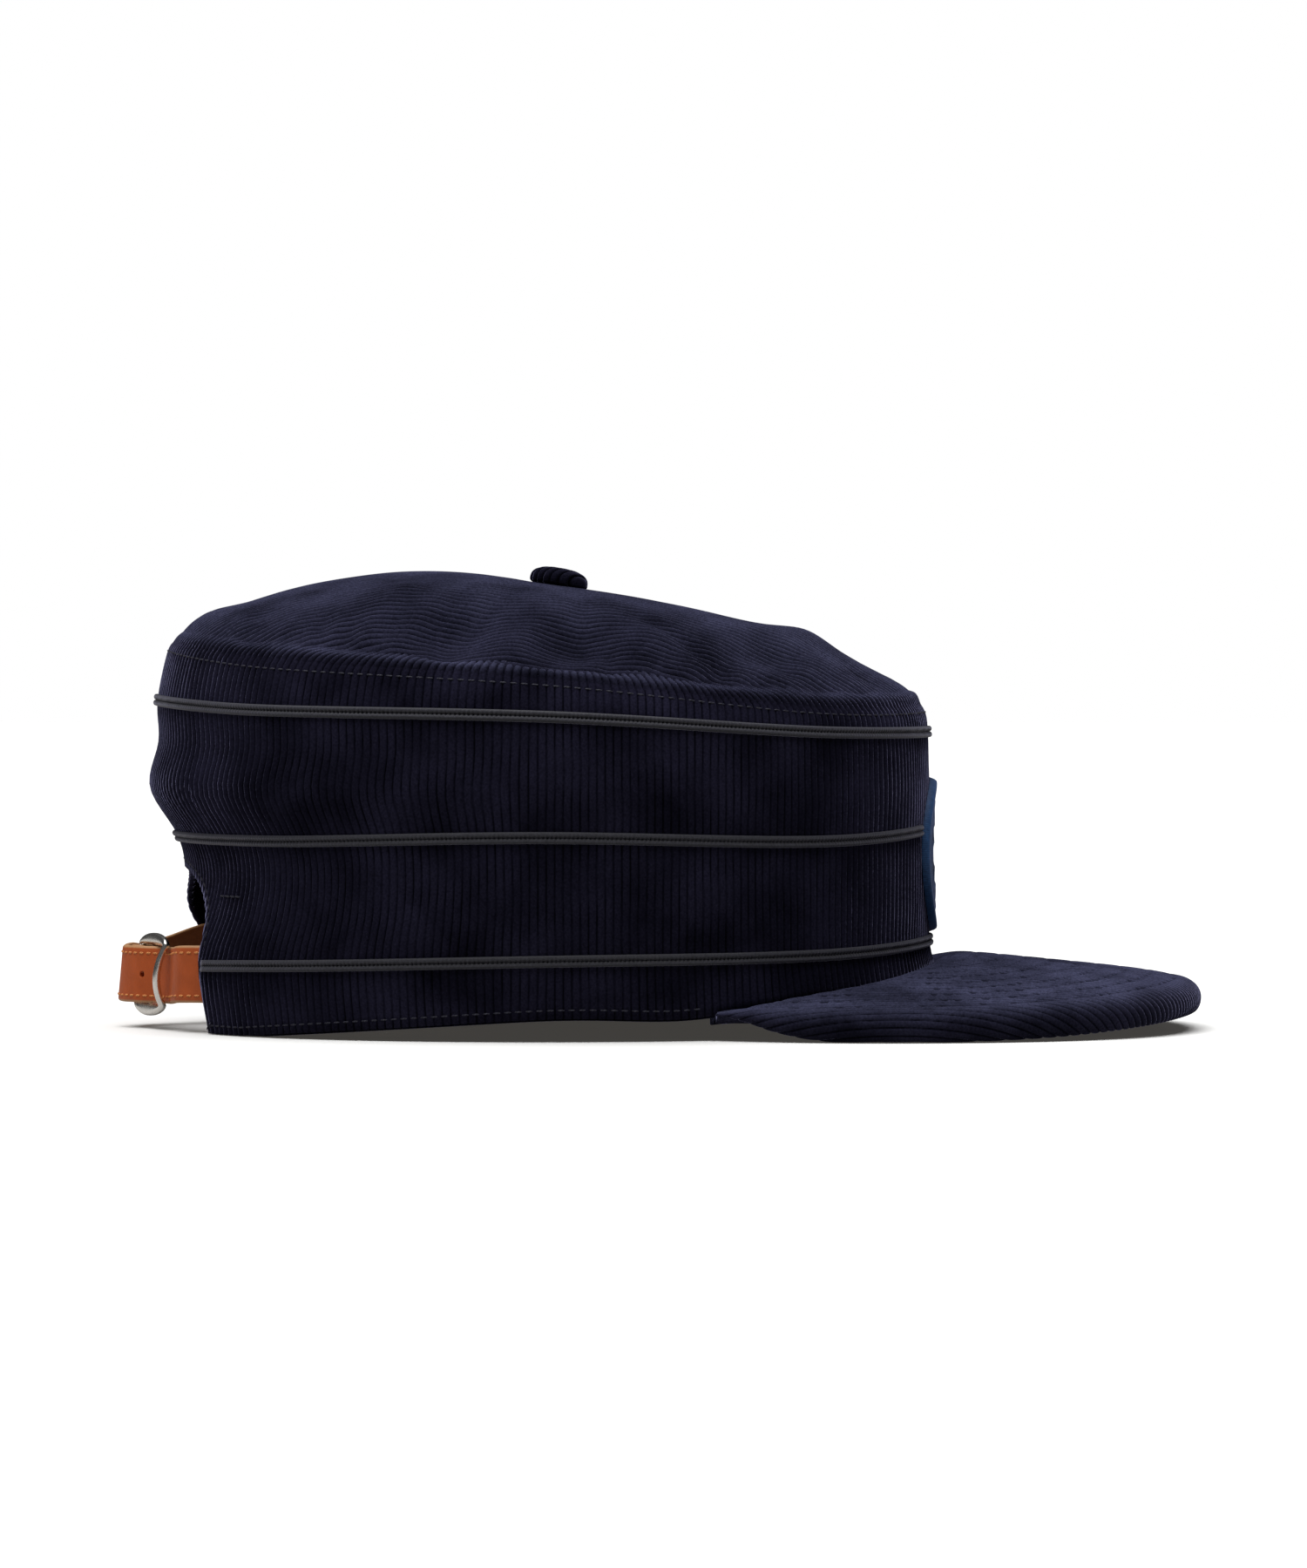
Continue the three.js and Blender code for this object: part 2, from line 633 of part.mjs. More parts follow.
function tongueCurve() {
  const underBar = barClearance + tongueThickness / 2;
  return new THREE.CatmullRomCurve3([
    ...strapTailLine(tongueStart, tongueThickness),
    strapPlace(tongueMiddle),
    nearBar.clone().addScaledVector(buckleFace, -underBar),
    nearBar.clone().lerp(rearBar, 0.25).addScaledVector(buckleFace, -underBar * 0.5),
    nearBar.clone().lerp(rearBar, 0.6).addScaledVector(buckleFace, overBar * 0.72),
    rearBar.clone().addScaledVector(buckleFace, overBar),
    ...tongueEnd.map(strapPlace),
  ], false, "centripetal");
}

function tongueGeometry() {
  const curve = tongueCurve();
  const punches = tongueHoles.map((share) => {
    const punch = new THREE.CylinderGeometry(holeDiameter / 2, holeDiameter / 2, tongueThickness * 3, 8);
    punch.applyQuaternion(
      new THREE.Quaternion().setFromUnitVectors(
        vector(0, 1, 0), curve.getTangentAt(share).setZ(0).cross(vector(0, 0, 1)).normalize()),
    );
    const place = curve.getPointAt(share);
    return punch.translate(place.x, place.y, place.z);
  });
  return leanBack(cutFrom(strapGeometry(curve, tongueThickness, 26, 4), punches));
}

// The keeper runs in under the tongue and folds round the buckle's rear bar.
function keeperGeometry() {
  const beside = ({ along, out }) =>
    rearBar.clone()
      .addScaledVector(buckleAlong, along * foldRadius)
      .addScaledVector(buckleFace, out * foldRadius);
  const fold = [-90, -45, 0, 45, 90].map((turn) =>
    beside({ along: -Math.cos(radians(turn)), out: Math.sin(radians(turn)) }),
  );
  const curve = new THREE.CatmullRomCurve3([
    ...strapTailLine(keeperStart, keeperThickness),
    ...keeperRoute.map(strapPlace),
    beside(keeperFoldStart),
    ...fold,
    ...keeperFoldEnd.map(beside),
  ], false, "centripetal");
  return leanBack(strapGeometry(curve, keeperThickness, 48, 1));
}

// The frame is one bent wire: two bars, the near one bowed out over the tongue, and broad lobes above and
// below.
function buckleGeometry() {
  const centre = nearBar.clone().lerp(rearBar, 0.5);
  const up = vector(0, 0, 1);
  const barHalf = strapWidth / 2 + seamGap;
  const lobeRise = (buckleHeight - buckleLobe) / 2 - barHalf;
  const barSteps = 4;
  const lobeSteps = 10;
  const sides = 8;
  const path = [];
  for (const end of [1, -1]) {
    for (let i = 0; i < barSteps; i++) {
      const height = end * (2 * (i / barSteps) - 1);
      const bow = end > 0 ? 0 : buckleBow * (1 - height * height);
      path.push({ along: end, height: height * barHalf, bow, turn: 0 });
    }
    for (let i = 0; i < lobeSteps; i++) {
      const turn = (Math.PI * i) / lobeSteps;
      const height = end * (barHalf + lobeRise * Math.sin(turn));
      path.push({ along: end * Math.cos(turn), height, bow: 0, turn });
    }
  }
  const rings = path.map((place) => {
    const thick = THREE.MathUtils.lerp(buckleWire, buckleLobe, Math.sin(place.turn) ** 2) / 2;
    const middle = centre.clone()
      .addScaledVector(buckleAlong, place.along * (barSpan / 2))
      .addScaledVector(buckleFace, place.bow)
      .addScaledVector(up, place.height);
    const radial = buckleAlong.clone().multiplyScalar(place.along * lobeRise)
      .addScaledVector(up, Math.sign(place.height) * Math.sin(place.turn) * (barSpan / 2))
      .normalize();
    return Array.from({ length: sides }, (_, k) => {
      const round = (2 * Math.PI * (k + 0.5)) / sides;
      return middle.clone()
        .addScaledVector(radial, thick * Math.cos(round))
        .addScaledVector(buckleFace, (buckleWire / 2) * Math.sin(round));
    });
  });
  return leanBack(loft(rings, true));
}

function namedMesh(name, geometry, material) {
  const mesh = new THREE.Mesh(geometry, material);
  mesh.name = name;
  return mesh;
}

function finish(color, roughness, metalness) {
  return new THREE.MeshStandardMaterial({ color, roughness, metalness });
}

const cap = new THREE.Group();
cap.add(
  namedMesh("side_band", bandGeometry(), finish(0x11101f, 0.95, 0)),
  namedMesh("crown_top", topGeometry(), finish(0x1a1930, 0.95, 0)),
  buttonMesh(finish(0x14132a, 0.95, 0)),
  namedMesh("braid_top", fullBraid("topBraid"), finish(0x36353e, 0.7, 0)),
  namedMesh("braid_middle", partBraid("middleBraid", 15), finish(0x36353e, 0.7, 0)),
  namedMesh("braid_bottom", cutFrom(fullBraid("bottomBraid"), [archTool()]), finish(0x36353e, 0.7, 0)),
  namedMesh("brim", brimGeometry(), finish(0x1d1c35, 0.95, 0)),
  namedMesh("front_patch", patchGeometry(), finish(0x1d3a5c, 0.6, 0)),
  namedMesh("strap_tongue", tongueGeometry(), finish(0x924b2c, 0.55, 0)),
  namedMesh("strap_keeper", keeperGeometry(), finish(0x8a4a2c, 0.6, 0)),
  namedMesh("buckle_frame", buckleGeometry(), finish(0xc9c8c4, 0.25, 1)),
);

// The origin is the middle of the cap's box, on the ground that it stands on.
const box = new THREE.Box3().setFromObject(cap);
cap.position.set(-(box.min.x + box.max.x) / 2, -(box.min.y + box.max.y) / 2, -box.min.z);
const part = new THREE.Group();
part.add(cap);
part.updateMatrixWorld(true);

export default part;
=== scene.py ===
"""A navy corduroy pillbox cap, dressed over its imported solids. Metres, +Z up, the brim points to -Y."""
import math

import bmesh
import bpy
import numpy as np
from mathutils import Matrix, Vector
from mathutils.bvhtree import BVHTree


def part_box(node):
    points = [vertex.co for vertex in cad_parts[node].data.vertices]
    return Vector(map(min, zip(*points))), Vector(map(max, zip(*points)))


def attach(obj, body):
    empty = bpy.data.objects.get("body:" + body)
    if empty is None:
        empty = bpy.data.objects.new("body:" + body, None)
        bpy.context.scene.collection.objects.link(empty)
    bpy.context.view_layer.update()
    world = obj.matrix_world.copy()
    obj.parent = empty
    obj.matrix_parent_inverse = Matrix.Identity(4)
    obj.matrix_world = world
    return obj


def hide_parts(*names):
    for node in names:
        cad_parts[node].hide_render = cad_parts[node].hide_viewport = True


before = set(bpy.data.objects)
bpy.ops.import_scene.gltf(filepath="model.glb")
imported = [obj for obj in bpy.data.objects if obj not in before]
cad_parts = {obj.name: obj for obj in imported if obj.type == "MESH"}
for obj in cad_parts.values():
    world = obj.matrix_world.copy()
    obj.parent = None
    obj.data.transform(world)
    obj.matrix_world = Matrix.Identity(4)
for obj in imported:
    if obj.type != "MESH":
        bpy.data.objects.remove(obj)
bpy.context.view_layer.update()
bpy.ops.object.select_all(action="DESELECT")

# The view: a long lens at the height of the cap's middle braid, square to its right side, over a white table
# and under a broad soft light from almost straight above. The room looks white but lights the cap dimly.
focal_pixels = 7830
picture_height_pixels = 1800
sensor = 36
camera_distance = 1.740
camera_height = 0.0796
camera_aim_y = 0.00117
camera_tilt = math.radians(0.585)

bpy.ops.object.camera_add(
    location=(-camera_distance, camera_aim_y, camera_height),
    rotation=(math.pi / 2 - camera_tilt, 0, -math.pi / 2),
)
camera = bpy.context.object
camera.data.sensor_width = sensor
camera.data.lens = focal_pixels * sensor / picture_height_pixels
camera.data.clip_end = 200
bpy.context.scene.camera = camera
bpy.context.scene.view_settings.view_transform = "Standard"

table_reach = 60
table_drop = 0.0002
bpy.ops.mesh.primitive_plane_add(size=2 * table_reach, location=(0, 0, -table_drop))
table = bpy.context.object
table.name = "table"
table_white = bpy.data.materials.new("table_white")
table_white.use_nodes = True
table_shader = table_white.node_tree.nodes["Principled BSDF"]
table_shader.inputs["Roughness"].default_value = 0.9
table_shader.inputs["Specular IOR Level"].default_value = 0.1
table_shader.inputs["Emission Color"].default_value = (1, 0.95, 0.87, 1)
table_shader.inputs["Emission Strength"].default_value = 0.05
table_seen = table_white.node_tree.nodes.new("ShaderNodeLightPath")
table_mix = table_white.node_tree.nodes.new("ShaderNodeMix")
table_mix.data_type = "RGBA"
table_mix.inputs[6].default_value = (0.45, 0.44, 0.42, 1)
table_mix.inputs[7].default_value = (0.93, 0.93, 0.92, 1)
table_white.node_tree.links.new(table_seen.outputs["Is Camera Ray"], table_mix.inputs[0])
table_white.node_tree.links.new(table_mix.outputs[2], table_shader.inputs["Base Color"])
table.data.materials.append(table_white)

bpy.ops.object.light_add(type="SUN", rotation=(math.radians(-6), math.radians(-4), 0))
sky_light = bpy.context.object
sky_light.data.energy = 4.0
sky_light.data.angle = math.radians(75)

world = bpy.data.worlds.new("studio")
bpy.context.scene.world = world
world.use_nodes = True
world_nodes = world.node_tree.nodes
world_links = world.node_tree.links
world_nodes.clear()
light_path = world_nodes.new("ShaderNodeLightPath")
world_mix = world_nodes.new("ShaderNodeMixShader")
world_output = world_nodes.new("ShaderNodeOutputWorld")
world_links.new(light_path.outputs["Is Camera Ray"], world_mix.inputs["Fac"])
for socket, strength in ((1, 0.05), (2, 1.0)):
    background = world_nodes.new("ShaderNodeBackground")
    background.inputs["Color"].default_value = (1, 1, 1, 1)
    background.inputs["Strength"].default_value = strength
    world_links.new(background.outputs[0], world_mix.inputs[socket])
world_links.new(world_mix.outputs[0], world_output.inputs["Surface"])

# Side band: one tall strip of corduroy sewn into a ring, its ribs upright, with an arched opening cut out of
# the back and its lower edge turned under. It is sewn to the top at its seam and to the brim at its hem.
crown_length = 0.200
crown_width = 0.170
crown_height = 0.1156
cloth_wall = 0.002
fold_depth = 0.002
arch_width = 0.080
arch_height = 0.041
arch_squareness = 3
rib_pitch = 0.0021
rib_depth = 0.00045
rib_samples = 6
band_ribs = 276
hem_dip = 0.0022
hem_dip_angle = 69
hem_dip_spread = 9
rib_fullness = 2.2
rib_rest = 0.75
gather_slant = 0.0011
girth_row = 3
stitch_row = 8
brim_middle = 0.085
brim_reach = 0.0817
crown_centre_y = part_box("brim")[0][1] + brim_middle + brim_reach

# Heights at the front, front corner, side, back corner and back are shares of crown_height. The reaches to
# the front, side and back are shares of half the crown's length or width.
band_levels = [
    dict(level="hem", heights=(0.143, 0.087, 0.048, 0.006, -0.03), front=0.99, side=0.985, back=0.948),
    dict(level="low_braid", heights=(0.194, 0.175, 0.169, 0.152, 0.14), front=0.978, side=0.992, back=0.97),
    dict(level="low_waist", heights=(0.277, 0.268, 0.264, 0.26, 0.26), front=0.98, side=0.998, back=0.93),
    dict(level="above_arch", heights=(0.355, 0.344, 0.349, 0.342, 0.346), front=0.98, side=1, back=0.916),
    dict(level="mid_braid", heights=(0.441, 0.418, 0.429, 0.419, 0.424), front=0.978, side=0.996, back=0.936),
    dict(level="bulge", heights=(0.519, 0.502, 0.519, 0.519, 0.529), front=0.978, side=1.002, back=1.006),
    dict(level="high_waist", heights=(0.588, 0.58, 0.606, 0.614, 0.632), front=0.976, side=1, back=0.984),
    dict(level="top_braid", heights=(0.651, 0.65, 0.683, 0.697, 0.721), front=0.974, side=0.99, back=0.986),
    dict(level="top_stitch", heights=(0.694, 0.69, 0.75, 0.787, 0.829), front=0.967, side=0.95, back=0.96),
    dict(level="seam", heights=(0.727, 0.718, 0.772, 0.82, 0.852), front=0.942, side=0.93, back=0.936),
]
seam_row = len(band_levels) - 1
# Folds in the band: angle round from the front, height share, spread in degrees, tall share, depth share.
band_folds = [
    dict(fold="right_back_crease", angle=-146, height=0.57, spread=6, tall=0.13, depth=-0.6),
    dict(fold="right_arch_shoulder", angle=-154, height=0.33, spread=9, tall=0.07, depth=-0.6),
    dict(fold="left_arch_shoulder", angle=155, height=0.29, spread=10, tall=0.065, depth=4.4),
    dict(fold="right_front_dent", angle=-53, height=0.32, spread=13, tall=0.1, depth=-0.4),
    dict(fold="right_front_bulge", angle=-27, height=0.54, spread=9, tall=0.1, depth=0.35),
    dict(fold="left_side_dent", angle=70, height=0.5, spread=20, tall=0.16, depth=-0.5),
    dict(fold="left_back_bulge", angle=132, height=0.58, spread=12, tall=0.13, depth=0.4),
]


def bell(distance):
    """A soft bump: 1 at no distance, fading over a few units of it."""
    return np.exp(-0.5 * distance * distance)


def from_front(angle):
    """An angle as degrees from the front, from -180 to 180."""
    return (angle + 180) % 360 - 180


def unit(vectors):
    return vectors / np.maximum(np.linalg.norm(vectors, axis=-1, keepdims=True), 1e-12)


def around(points, axis=0):
    """The step from the point before to the point after each one, round a loop."""
    return np.roll(points, -1, axis=axis) - np.roll(points, 1, axis=axis)


def length_marks(line):
    """The length along a line, from its start to each of its points."""
    return np.concatenate([[0], np.cumsum(np.linalg.norm(np.diff(line, axis=0), axis=1))])


def read_line(at, marks, values):
    """A line's values, one row for each of its marks, read at other marks."""
    return np.stack([np.interp(at, marks, column) for column in values.T], axis=-1)


def hermite(start, end, leaving, arriving, t):
    """A smooth value between start and end, with a slope at each."""
    return (start * (1 - 3 * t**2 + 2 * t**3) + end * (3 * t**2 - 2 * t**3)
            + leaving * (t - 2 * t**2 + t**3) + arriving * (t**3 - t**2))


def cubic(before, start, end, after, t):
    """A smooth value between start and end, with the slopes that their neighbours give."""
    return hermite(start, end, (end - before) / 2, (after - start) / 2, t)


def round_the_cap(heights, angle):
    """A row's height share at each angle, smooth between its five columns."""
    place = np.abs(from_front(angle)) / 45
    start = np.minimum(place.astype(int), 3)
    mirrored = np.array([heights[1], *heights, heights[3]])
    return cubic(*(mirrored[start + k] for k in range(4)), place - start)


def band_sheet(angles):
    """The band's outer face at its ten levels, one column of points for each angle."""
    turn = np.radians(angles)
    rows = []
    for level in band_levels:
        reach = np.where(np.cos(turn) > 0, level["front"], level["back"])
        rows.append(np.stack([
            level["side"] * crown_width / 2 * np.sin(turn),
            -reach * crown_length / 2 * np.cos(turn) + crown_centre_y,
            np.maximum(0, round_the_cap(level["heights"], angles) * crown_height),
        ], axis=-1))
    sheet = np.array(rows)
    along = around(sheet, axis=1)
    away = np.stack([along[..., 1], -along[..., 0]], axis=-1)
    away /= np.linalg.norm(away, axis=-1, keepdims=True)
    push = np.zeros(sheet.shape[:2])
    for fold in band_folds:
        aside = from_front(angles - fold["angle"]) / fold["spread"]
        above = (sheet[..., 2] / crown_height - fold["height"]) / fold["tall"]
        push += fold["depth"] * fold_depth * bell(aside) * bell(above)
    push[0] = 0
    sheet[..., :2] += away * push[..., None]
    dip = hem_dip * bell((np.abs(from_front(angles)) - hem_dip_angle) / hem_dip_spread)
    sheet[0, :, 2] = np.maximum(0, sheet[0, :, 2] - dip)
    return sheet


def between_levels(sheet, rows):
    """Points of a sheet at rows that may lie between its levels, one column of rows for each column."""
    last = len(sheet) - 1
    low = np.clip(np.floor(rows).astype(int), 0, last - 1)
    column = np.arange(sheet.shape[1])[None, :]
    four = (sheet[np.clip(low + k, 0, last), column] for k in (-1, 0, 1, 2))
    return cubic(*four, (rows - low)[..., None])


def rib_height(distance):
    """The pile's height over one rib, from 0 in the groove to 1 along the crest."""
    across = np.abs(np.sin(math.pi * distance / rib_pitch))
    return 1 - (1 - across) ** rib_fullness


def gather_lean(over, angles):
    """How far the ribs lean toward the middle of the cap's side, over the top row of stitches."""
    turn = np.radians(angles)
    uneven = 1 + 0.5 * np.sin(5 * turn) + 0.3 * np.sin(17 * turn)
    return -gather_slant * over**1.6 * np.sin(2 * turn) * uneven


def arch_line(x):
    """The height of the arch's edge over a place across the back, and 0 beside the arch."""
    inside = np.clip(1 - np.abs(2 * x / arch_width) ** arch_squareness, 0, 1)
    return arch_height * inside ** (1 / arch_squareness)


def lower_rows(sheet, angles):
    """The row at which each column of the band ends: the hem, or the arch's edge at the back."""
    steps = np.linspace(0, 5, 400)
    places = between_levels(sheet, np.repeat(steps[:, None], len(angles), axis=1))
    at_back = np.cos(np.radians(angles)) < 0
    over = places[..., 2] - np.where(at_back, arch_line(places[..., 0]), 0)
    first = np.argmax(over >= 0, axis=0)
    before = np.maximum(first - 1, 0)
    column = np.arange(len(angles))
    low, high = over[before, column], over[first, column]
    share = np.where(first > 0, low / np.where(low == high, 1, low - high), 0)
    return steps[before] + share * (steps[first] - steps[before])


def sewn_body(name, columns, closed_round=True, **layers):
    """One closed mesh from columns of points, each a loop over one side and back under the other."""
    count, size = columns.shape[:2]
    corner = np.arange(count * size).reshape(count, size)
    here, there = (corner, np.roll(corner, -1, axis=0)) if closed_round else (corner[:-1], corner[1:])
    quads = np.stack([here, there, np.roll(there, -1, axis=1), np.roll(here, -1, axis=1)], axis=-1)
    mesh = bpy.data.meshes.new(name)
    mesh.from_pydata(columns.reshape(-1, 3).tolist(), [], quads.reshape(-1, 4).tolist())
    for label, values in layers.items():
        layer = mesh.attributes.new(label, "FLOAT", "POINT")
        layer.data.foreach_set("value", values.astype(np.float32).ravel())
    work = bmesh.new()
    work.from_mesh(mesh)
    bmesh.ops.remove_doubles(work, verts=work.verts, dist=1e-7)
    bmesh.ops.dissolve_degenerate(work, edges=work.edges, dist=1e-8)
    bmesh.ops.holes_fill(work, edges=[edge for edge in work.edges if edge.is_boundary])
    if work.calc_volume(signed=True) < 0:
        bmesh.ops.reverse_faces(work, faces=work.faces)
    work.to_mesh(mesh)
    work.free()
    mesh.shade_smooth()
    piece = bpy.data.objects.new(name, mesh)
    bpy.context.collection.objects.link(piece)
    return piece


fine_count = 14400
fine_angles = np.linspace(0, 360, fine_count, endpoint=False)
fine_sheet = band_sheet(fine_angles)
whole_angles = np.append(fine_angles, 360)
girth_line = between_levels(fine_sheet, np.full((1, len(fine_angles)), float(girth_row)))[0]
girth_marks = length_marks(np.concatenate([girth_line, girth_line[:1]]))
girth = girth_marks[-1]
band_samples = band_ribs * rib_samples
rib_angles = np.interp(np.arange(band_samples) * girth / band_samples, girth_marks, whole_angles)
fine_lower = lower_rows(fine_sheet, fine_angles)
fine_edge = between_levels(fine_sheet, fine_lower[None, :])[0]
edge_step = 0.0007
arch_steepness = 1.5
edge_run = np.linalg.norm(np.diff(fine_edge[:, :2], axis=0), axis=1)
edge_climb = np.abs(np.diff(fine_edge[:, 2]))
steep = edge_climb / np.maximum(edge_run, 1e-9) > arch_steepness
steep_climb = np.concatenate([[0], np.cumsum(edge_climb * steep)])
marks = np.arange(edge_step, steep_climb[-1], edge_step)
arch_angles = np.interp(marks, steep_climb, fine_angles)
band_angles = np.unique(np.round(np.concatenate([rib_angles, arch_angles]), 5))
band_sheet_fine = band_sheet(band_angles)
band_lower = lower_rows(band_sheet_fine, band_angles)

outer_rows = 34
inner_rows = 6
turned_rows = 4
turned_swell = 0.28
hem_lift = 0.0001
climb_share = np.linspace(0, 1, outer_rows)
outer_places = band_lower[None, :] + (seam_row - band_lower)[None, :] * climb_share[:, None]
band_face = between_levels(band_sheet_fine, outer_places)
band_normal = unit(np.cross(around(band_face, axis=1), np.gradient(band_face, axis=0)))
band_distance = np.interp(band_angles, whole_angles, girth_marks) * (band_ribs * rib_pitch / girth)
band_pile = rib_height(band_distance)
lean = gather_lean(np.clip(outer_places - stitch_row, 0, 1), band_angles)
band_turn, band_high = np.radians(band_angles), band_face[..., 2]
sway = (0.00012 * np.sin(band_high * 130 + band_turn * 11)
        + 0.00008 * np.sin(band_high * 310 - band_turn * 23))
face_pile = rib_height(band_distance[None, :] + lean + sway)
band_outer = band_face + band_normal * (rib_depth * (face_pile - rib_rest))[..., None]
inner_pick = np.round(np.linspace(outer_rows - 1, 0, inner_rows)).astype(int)
band_inner = (band_face - band_normal * cloth_wall)[inner_pick]
edge_out = -unit(np.cross(band_normal[0], unit(around(band_face[0]))))
turned = []
for step in range(1, turned_rows + 1):
    turn = math.pi * step / (turned_rows + 1)
    middle = band_face[0] - band_normal[0] * cloth_wall / 2
    ridge = rib_depth * (band_pile - rib_rest)[:, None] * math.cos(turn / 2)
    turned.append(middle - band_normal[0] * (cloth_wall / 2 * math.cos(turn))
                  + edge_out * (cloth_wall * turned_swell * math.sin(turn)) + band_normal[0] * ridge)
turned = np.array(turned)[::-1]
turned[..., 2] = np.maximum(turned[..., 2], hem_lift)
band_columns = np.concatenate([band_outer, band_inner, turned], axis=0).transpose(1, 0, 2)
band_columns[..., 2] = np.maximum(band_columns[..., 2], 0)
# Painted shade: the grooves between ribs darken toward black, and the inner face (tone -1) is painted the
# darkest groove shade.
shade_tone_rows = np.concatenate([
    face_pile,
    np.full((inner_rows, len(band_pile)), -1.0),
    np.repeat(band_pile[None, :], turned_rows, axis=0),
], axis=0).T
side_band = sewn_body("side_band_cloth", band_columns, tone=shade_tone_rows)


def new_material(name, settings):
    """A material, its node tree and its shader, whose inputs have the settings."""
    material = bpy.data.materials.new(name)
    material.use_nodes = True
    shader = material.node_tree.nodes["Principled BSDF"]
    for label, value in settings.items():
        shader.inputs[label].default_value = value
    return material, material.node_tree, shader


def add_node(tree, kind, inputs, operation=None):
    """A node of a tree, each of its inputs set to a value or linked to another node's output."""
    node = tree.nodes.new(kind)
    if operation:
        node.operation = operation
    for label, value in inputs.items():
        if isinstance(value, bpy.types.NodeSocket):
            tree.links.new(value, node.inputs[label])
        else:
            node.inputs[label].default_value = value
    return node


def mesh_value(tree, label):
    """A value that a mesh holds at its points."""
    value = tree.nodes.new("ShaderNodeAttribute")
    value.attribute_name = label
    return value.outputs["Fac"]


def colour_ramp(tree, value, low, high, top=1):
    """Colours along a value, from low at 0 to high at top."""
    ramp = add_node(tree, "ShaderNodeValToRGB", {"Fac": value})
    ramp.color_ramp.elements[1].position = top
    ramp.color_ramp.elements[0].color = low
    ramp.color_ramp.elements[1].color = high
    return ramp.outputs["Color"]


def mottling(tree, scale, low, high, detail=2, start=0, stop=1):
    """Noise in the piece's own space, plain, and with start to stop brought to low to high."""
    place = tree.nodes.new("ShaderNodeTexCoord").outputs["Object"]
    noise = add_node(tree, "ShaderNodeTexNoise", {"Vector": place, "Scale": scale, "Detail": detail})
    ranged = add_node(tree, "ShaderNodeMapRange", {
        "Value": noise.outputs["Fac"], "From Min": start, "From Max": stop, "To Min": low, "To Max": high})
    return noise.outputs["Fac"], ranged.outputs[0]


def scaled(tree, colour, factor):
    """A colour times a factor."""
    return add_node(tree, "ShaderNodeVectorMath", {0: colour, "Scale": factor}, "SCALE").outputs[0]


def finish_surface(tree, shader, colour, height, strength, distance):
    """Gives the shader its colour, and fine relief from a height."""
    bump = add_node(tree, "ShaderNodeBump", {"Height": height, "Strength": strength, "Distance": distance})
    tree.links.new(bump.outputs["Normal"], shader.inputs["Normal"])
    tree.links.new(colour, shader.inputs["Base Color"])


corduroy, tree, shader = new_material("navy_corduroy", {
    "Roughness": 0.92, "Specular IOR Level": 0.0, "Sheen Weight": 0.8, "Sheen Roughness": 0.25,
    "Sheen Tint": (0.5, 0.5, 0.85, 1),
})
# Painted shade: the tone ramp runs from near black in the ribs' grooves, and wherever the tone is -1, up to
# the navy of the crests.
pile_colour_with_groove_shade = colour_ramp(
    tree, mesh_value(tree, "tone"), (0.0006, 0.0006, 0.0012, 1), (0.009, 0.0085, 0.0175, 1), top=0.8)
nap = mottling(tree, 55, 0.5, 1.6, detail=4, start=0.3, stop=0.7)[1]
fuzz_height, fuzz = mottling(tree, 1800, 0.65, 1.4, start=0.25, stop=0.75)
nap_fuzz = add_node(tree, "ShaderNodeMath", {0: nap, 1: fuzz}, "MULTIPLY").outputs[0]
# Painted sheen: the lie attribute lightens the colour on faces that turn up to the light.
painted_sheen_tint = scaled(tree, (1.0, 1.15, 1.0), mesh_value(tree, "lie"))
painted_sheen_inputs = {0: pile_colour_with_groove_shade, 1: painted_sheen_tint, 2: pile_colour_with_groove_shade}
painted_sheen_colour = add_node(tree, "ShaderNodeVectorMath", painted_sheen_inputs, "MULTIPLY_ADD").outputs[0]
finish_surface(tree, shader, scaled(tree, painted_sheen_colour, nap_fuzz), fuzz_height, 0.35, 0.0003)

side_band.data.materials.append(corduroy)
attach(side_band, "root")
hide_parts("side_band")

# Crown top: one soft oval of the same cloth with its ribs running from front to back, wrinkled, and gathered
# a little into the seam that joins it to the band.
seam_gap = 0.0003
top_middle_forward = 0.0031
top_middle_height = 0.963
top_rings = [
    dict(out=0.2, heights=(0.938, 0.952, 0.968, 0.986, 0.994)),
    dict(out=0.4, heights=(0.912, 0.93, 0.951, 0.981, 1)),
    dict(out=0.6, heights=(0.877, 0.893, 0.916, 0.958, 0.98)),
    dict(out=0.7, heights=(0.864, 0.868, 0.893, 0.938, 0.962)),
    dict(out=0.8, heights=(0.818, 0.836, 0.864, 0.912, 0.937)),
    dict(out=0.92, heights=(0.763, 0.776, 0.815, 0.866, 0.903)),
]
top_folds = [
    dict(fold="right_hollow", angle=-104, out=0.78, spread=7, long=0.13, depth=-2.1),
    dict(fold="right_pleat", angle=-95, out=0.84, spread=3.6, long=0.12, depth=1.1),
    dict(fold="right_front_hollow", angle=-85, out=0.82, spread=7, long=0.12, depth=-1.9),
    dict(fold="right_back_swell", angle=-128, out=0.7, spread=12, long=0.15, depth=0.5),
    dict(fold="front_roll", angle=-8, out=0.68, spread=20, long=0.07, depth=0.4),
    dict(fold="right_corner_hollow", angle=-50, out=0.8, spread=10, long=0.12, depth=-0.5),
    dict(fold="left_hollow", angle=98, out=0.79, spread=10, long=0.13, depth=-0.9),
    dict(fold="left_corner_swell", angle=58, out=0.78, spread=12, long=0.13, depth=0.4),
    dict(fold="left_back_hollow", angle=140, out=0.77, spread=10, long=0.12, depth=-0.6),
]
top_rows = 150
top_rib_depth = 0.0011
top_rib_rest = 0.6
rib_fade = 60
fold_fade = 40
row_evenness = 0.45
smooth_middle = 0.03
top_shine = 0.35
ridge_shine = 1.7
ridge_spread = 0.04
pucker_out = 0.96
top_inner_rows = 22
seam_puff = 0.0026
puff_reach = 0.16
pucker_count = 54
dice = np.random.default_rng(7)
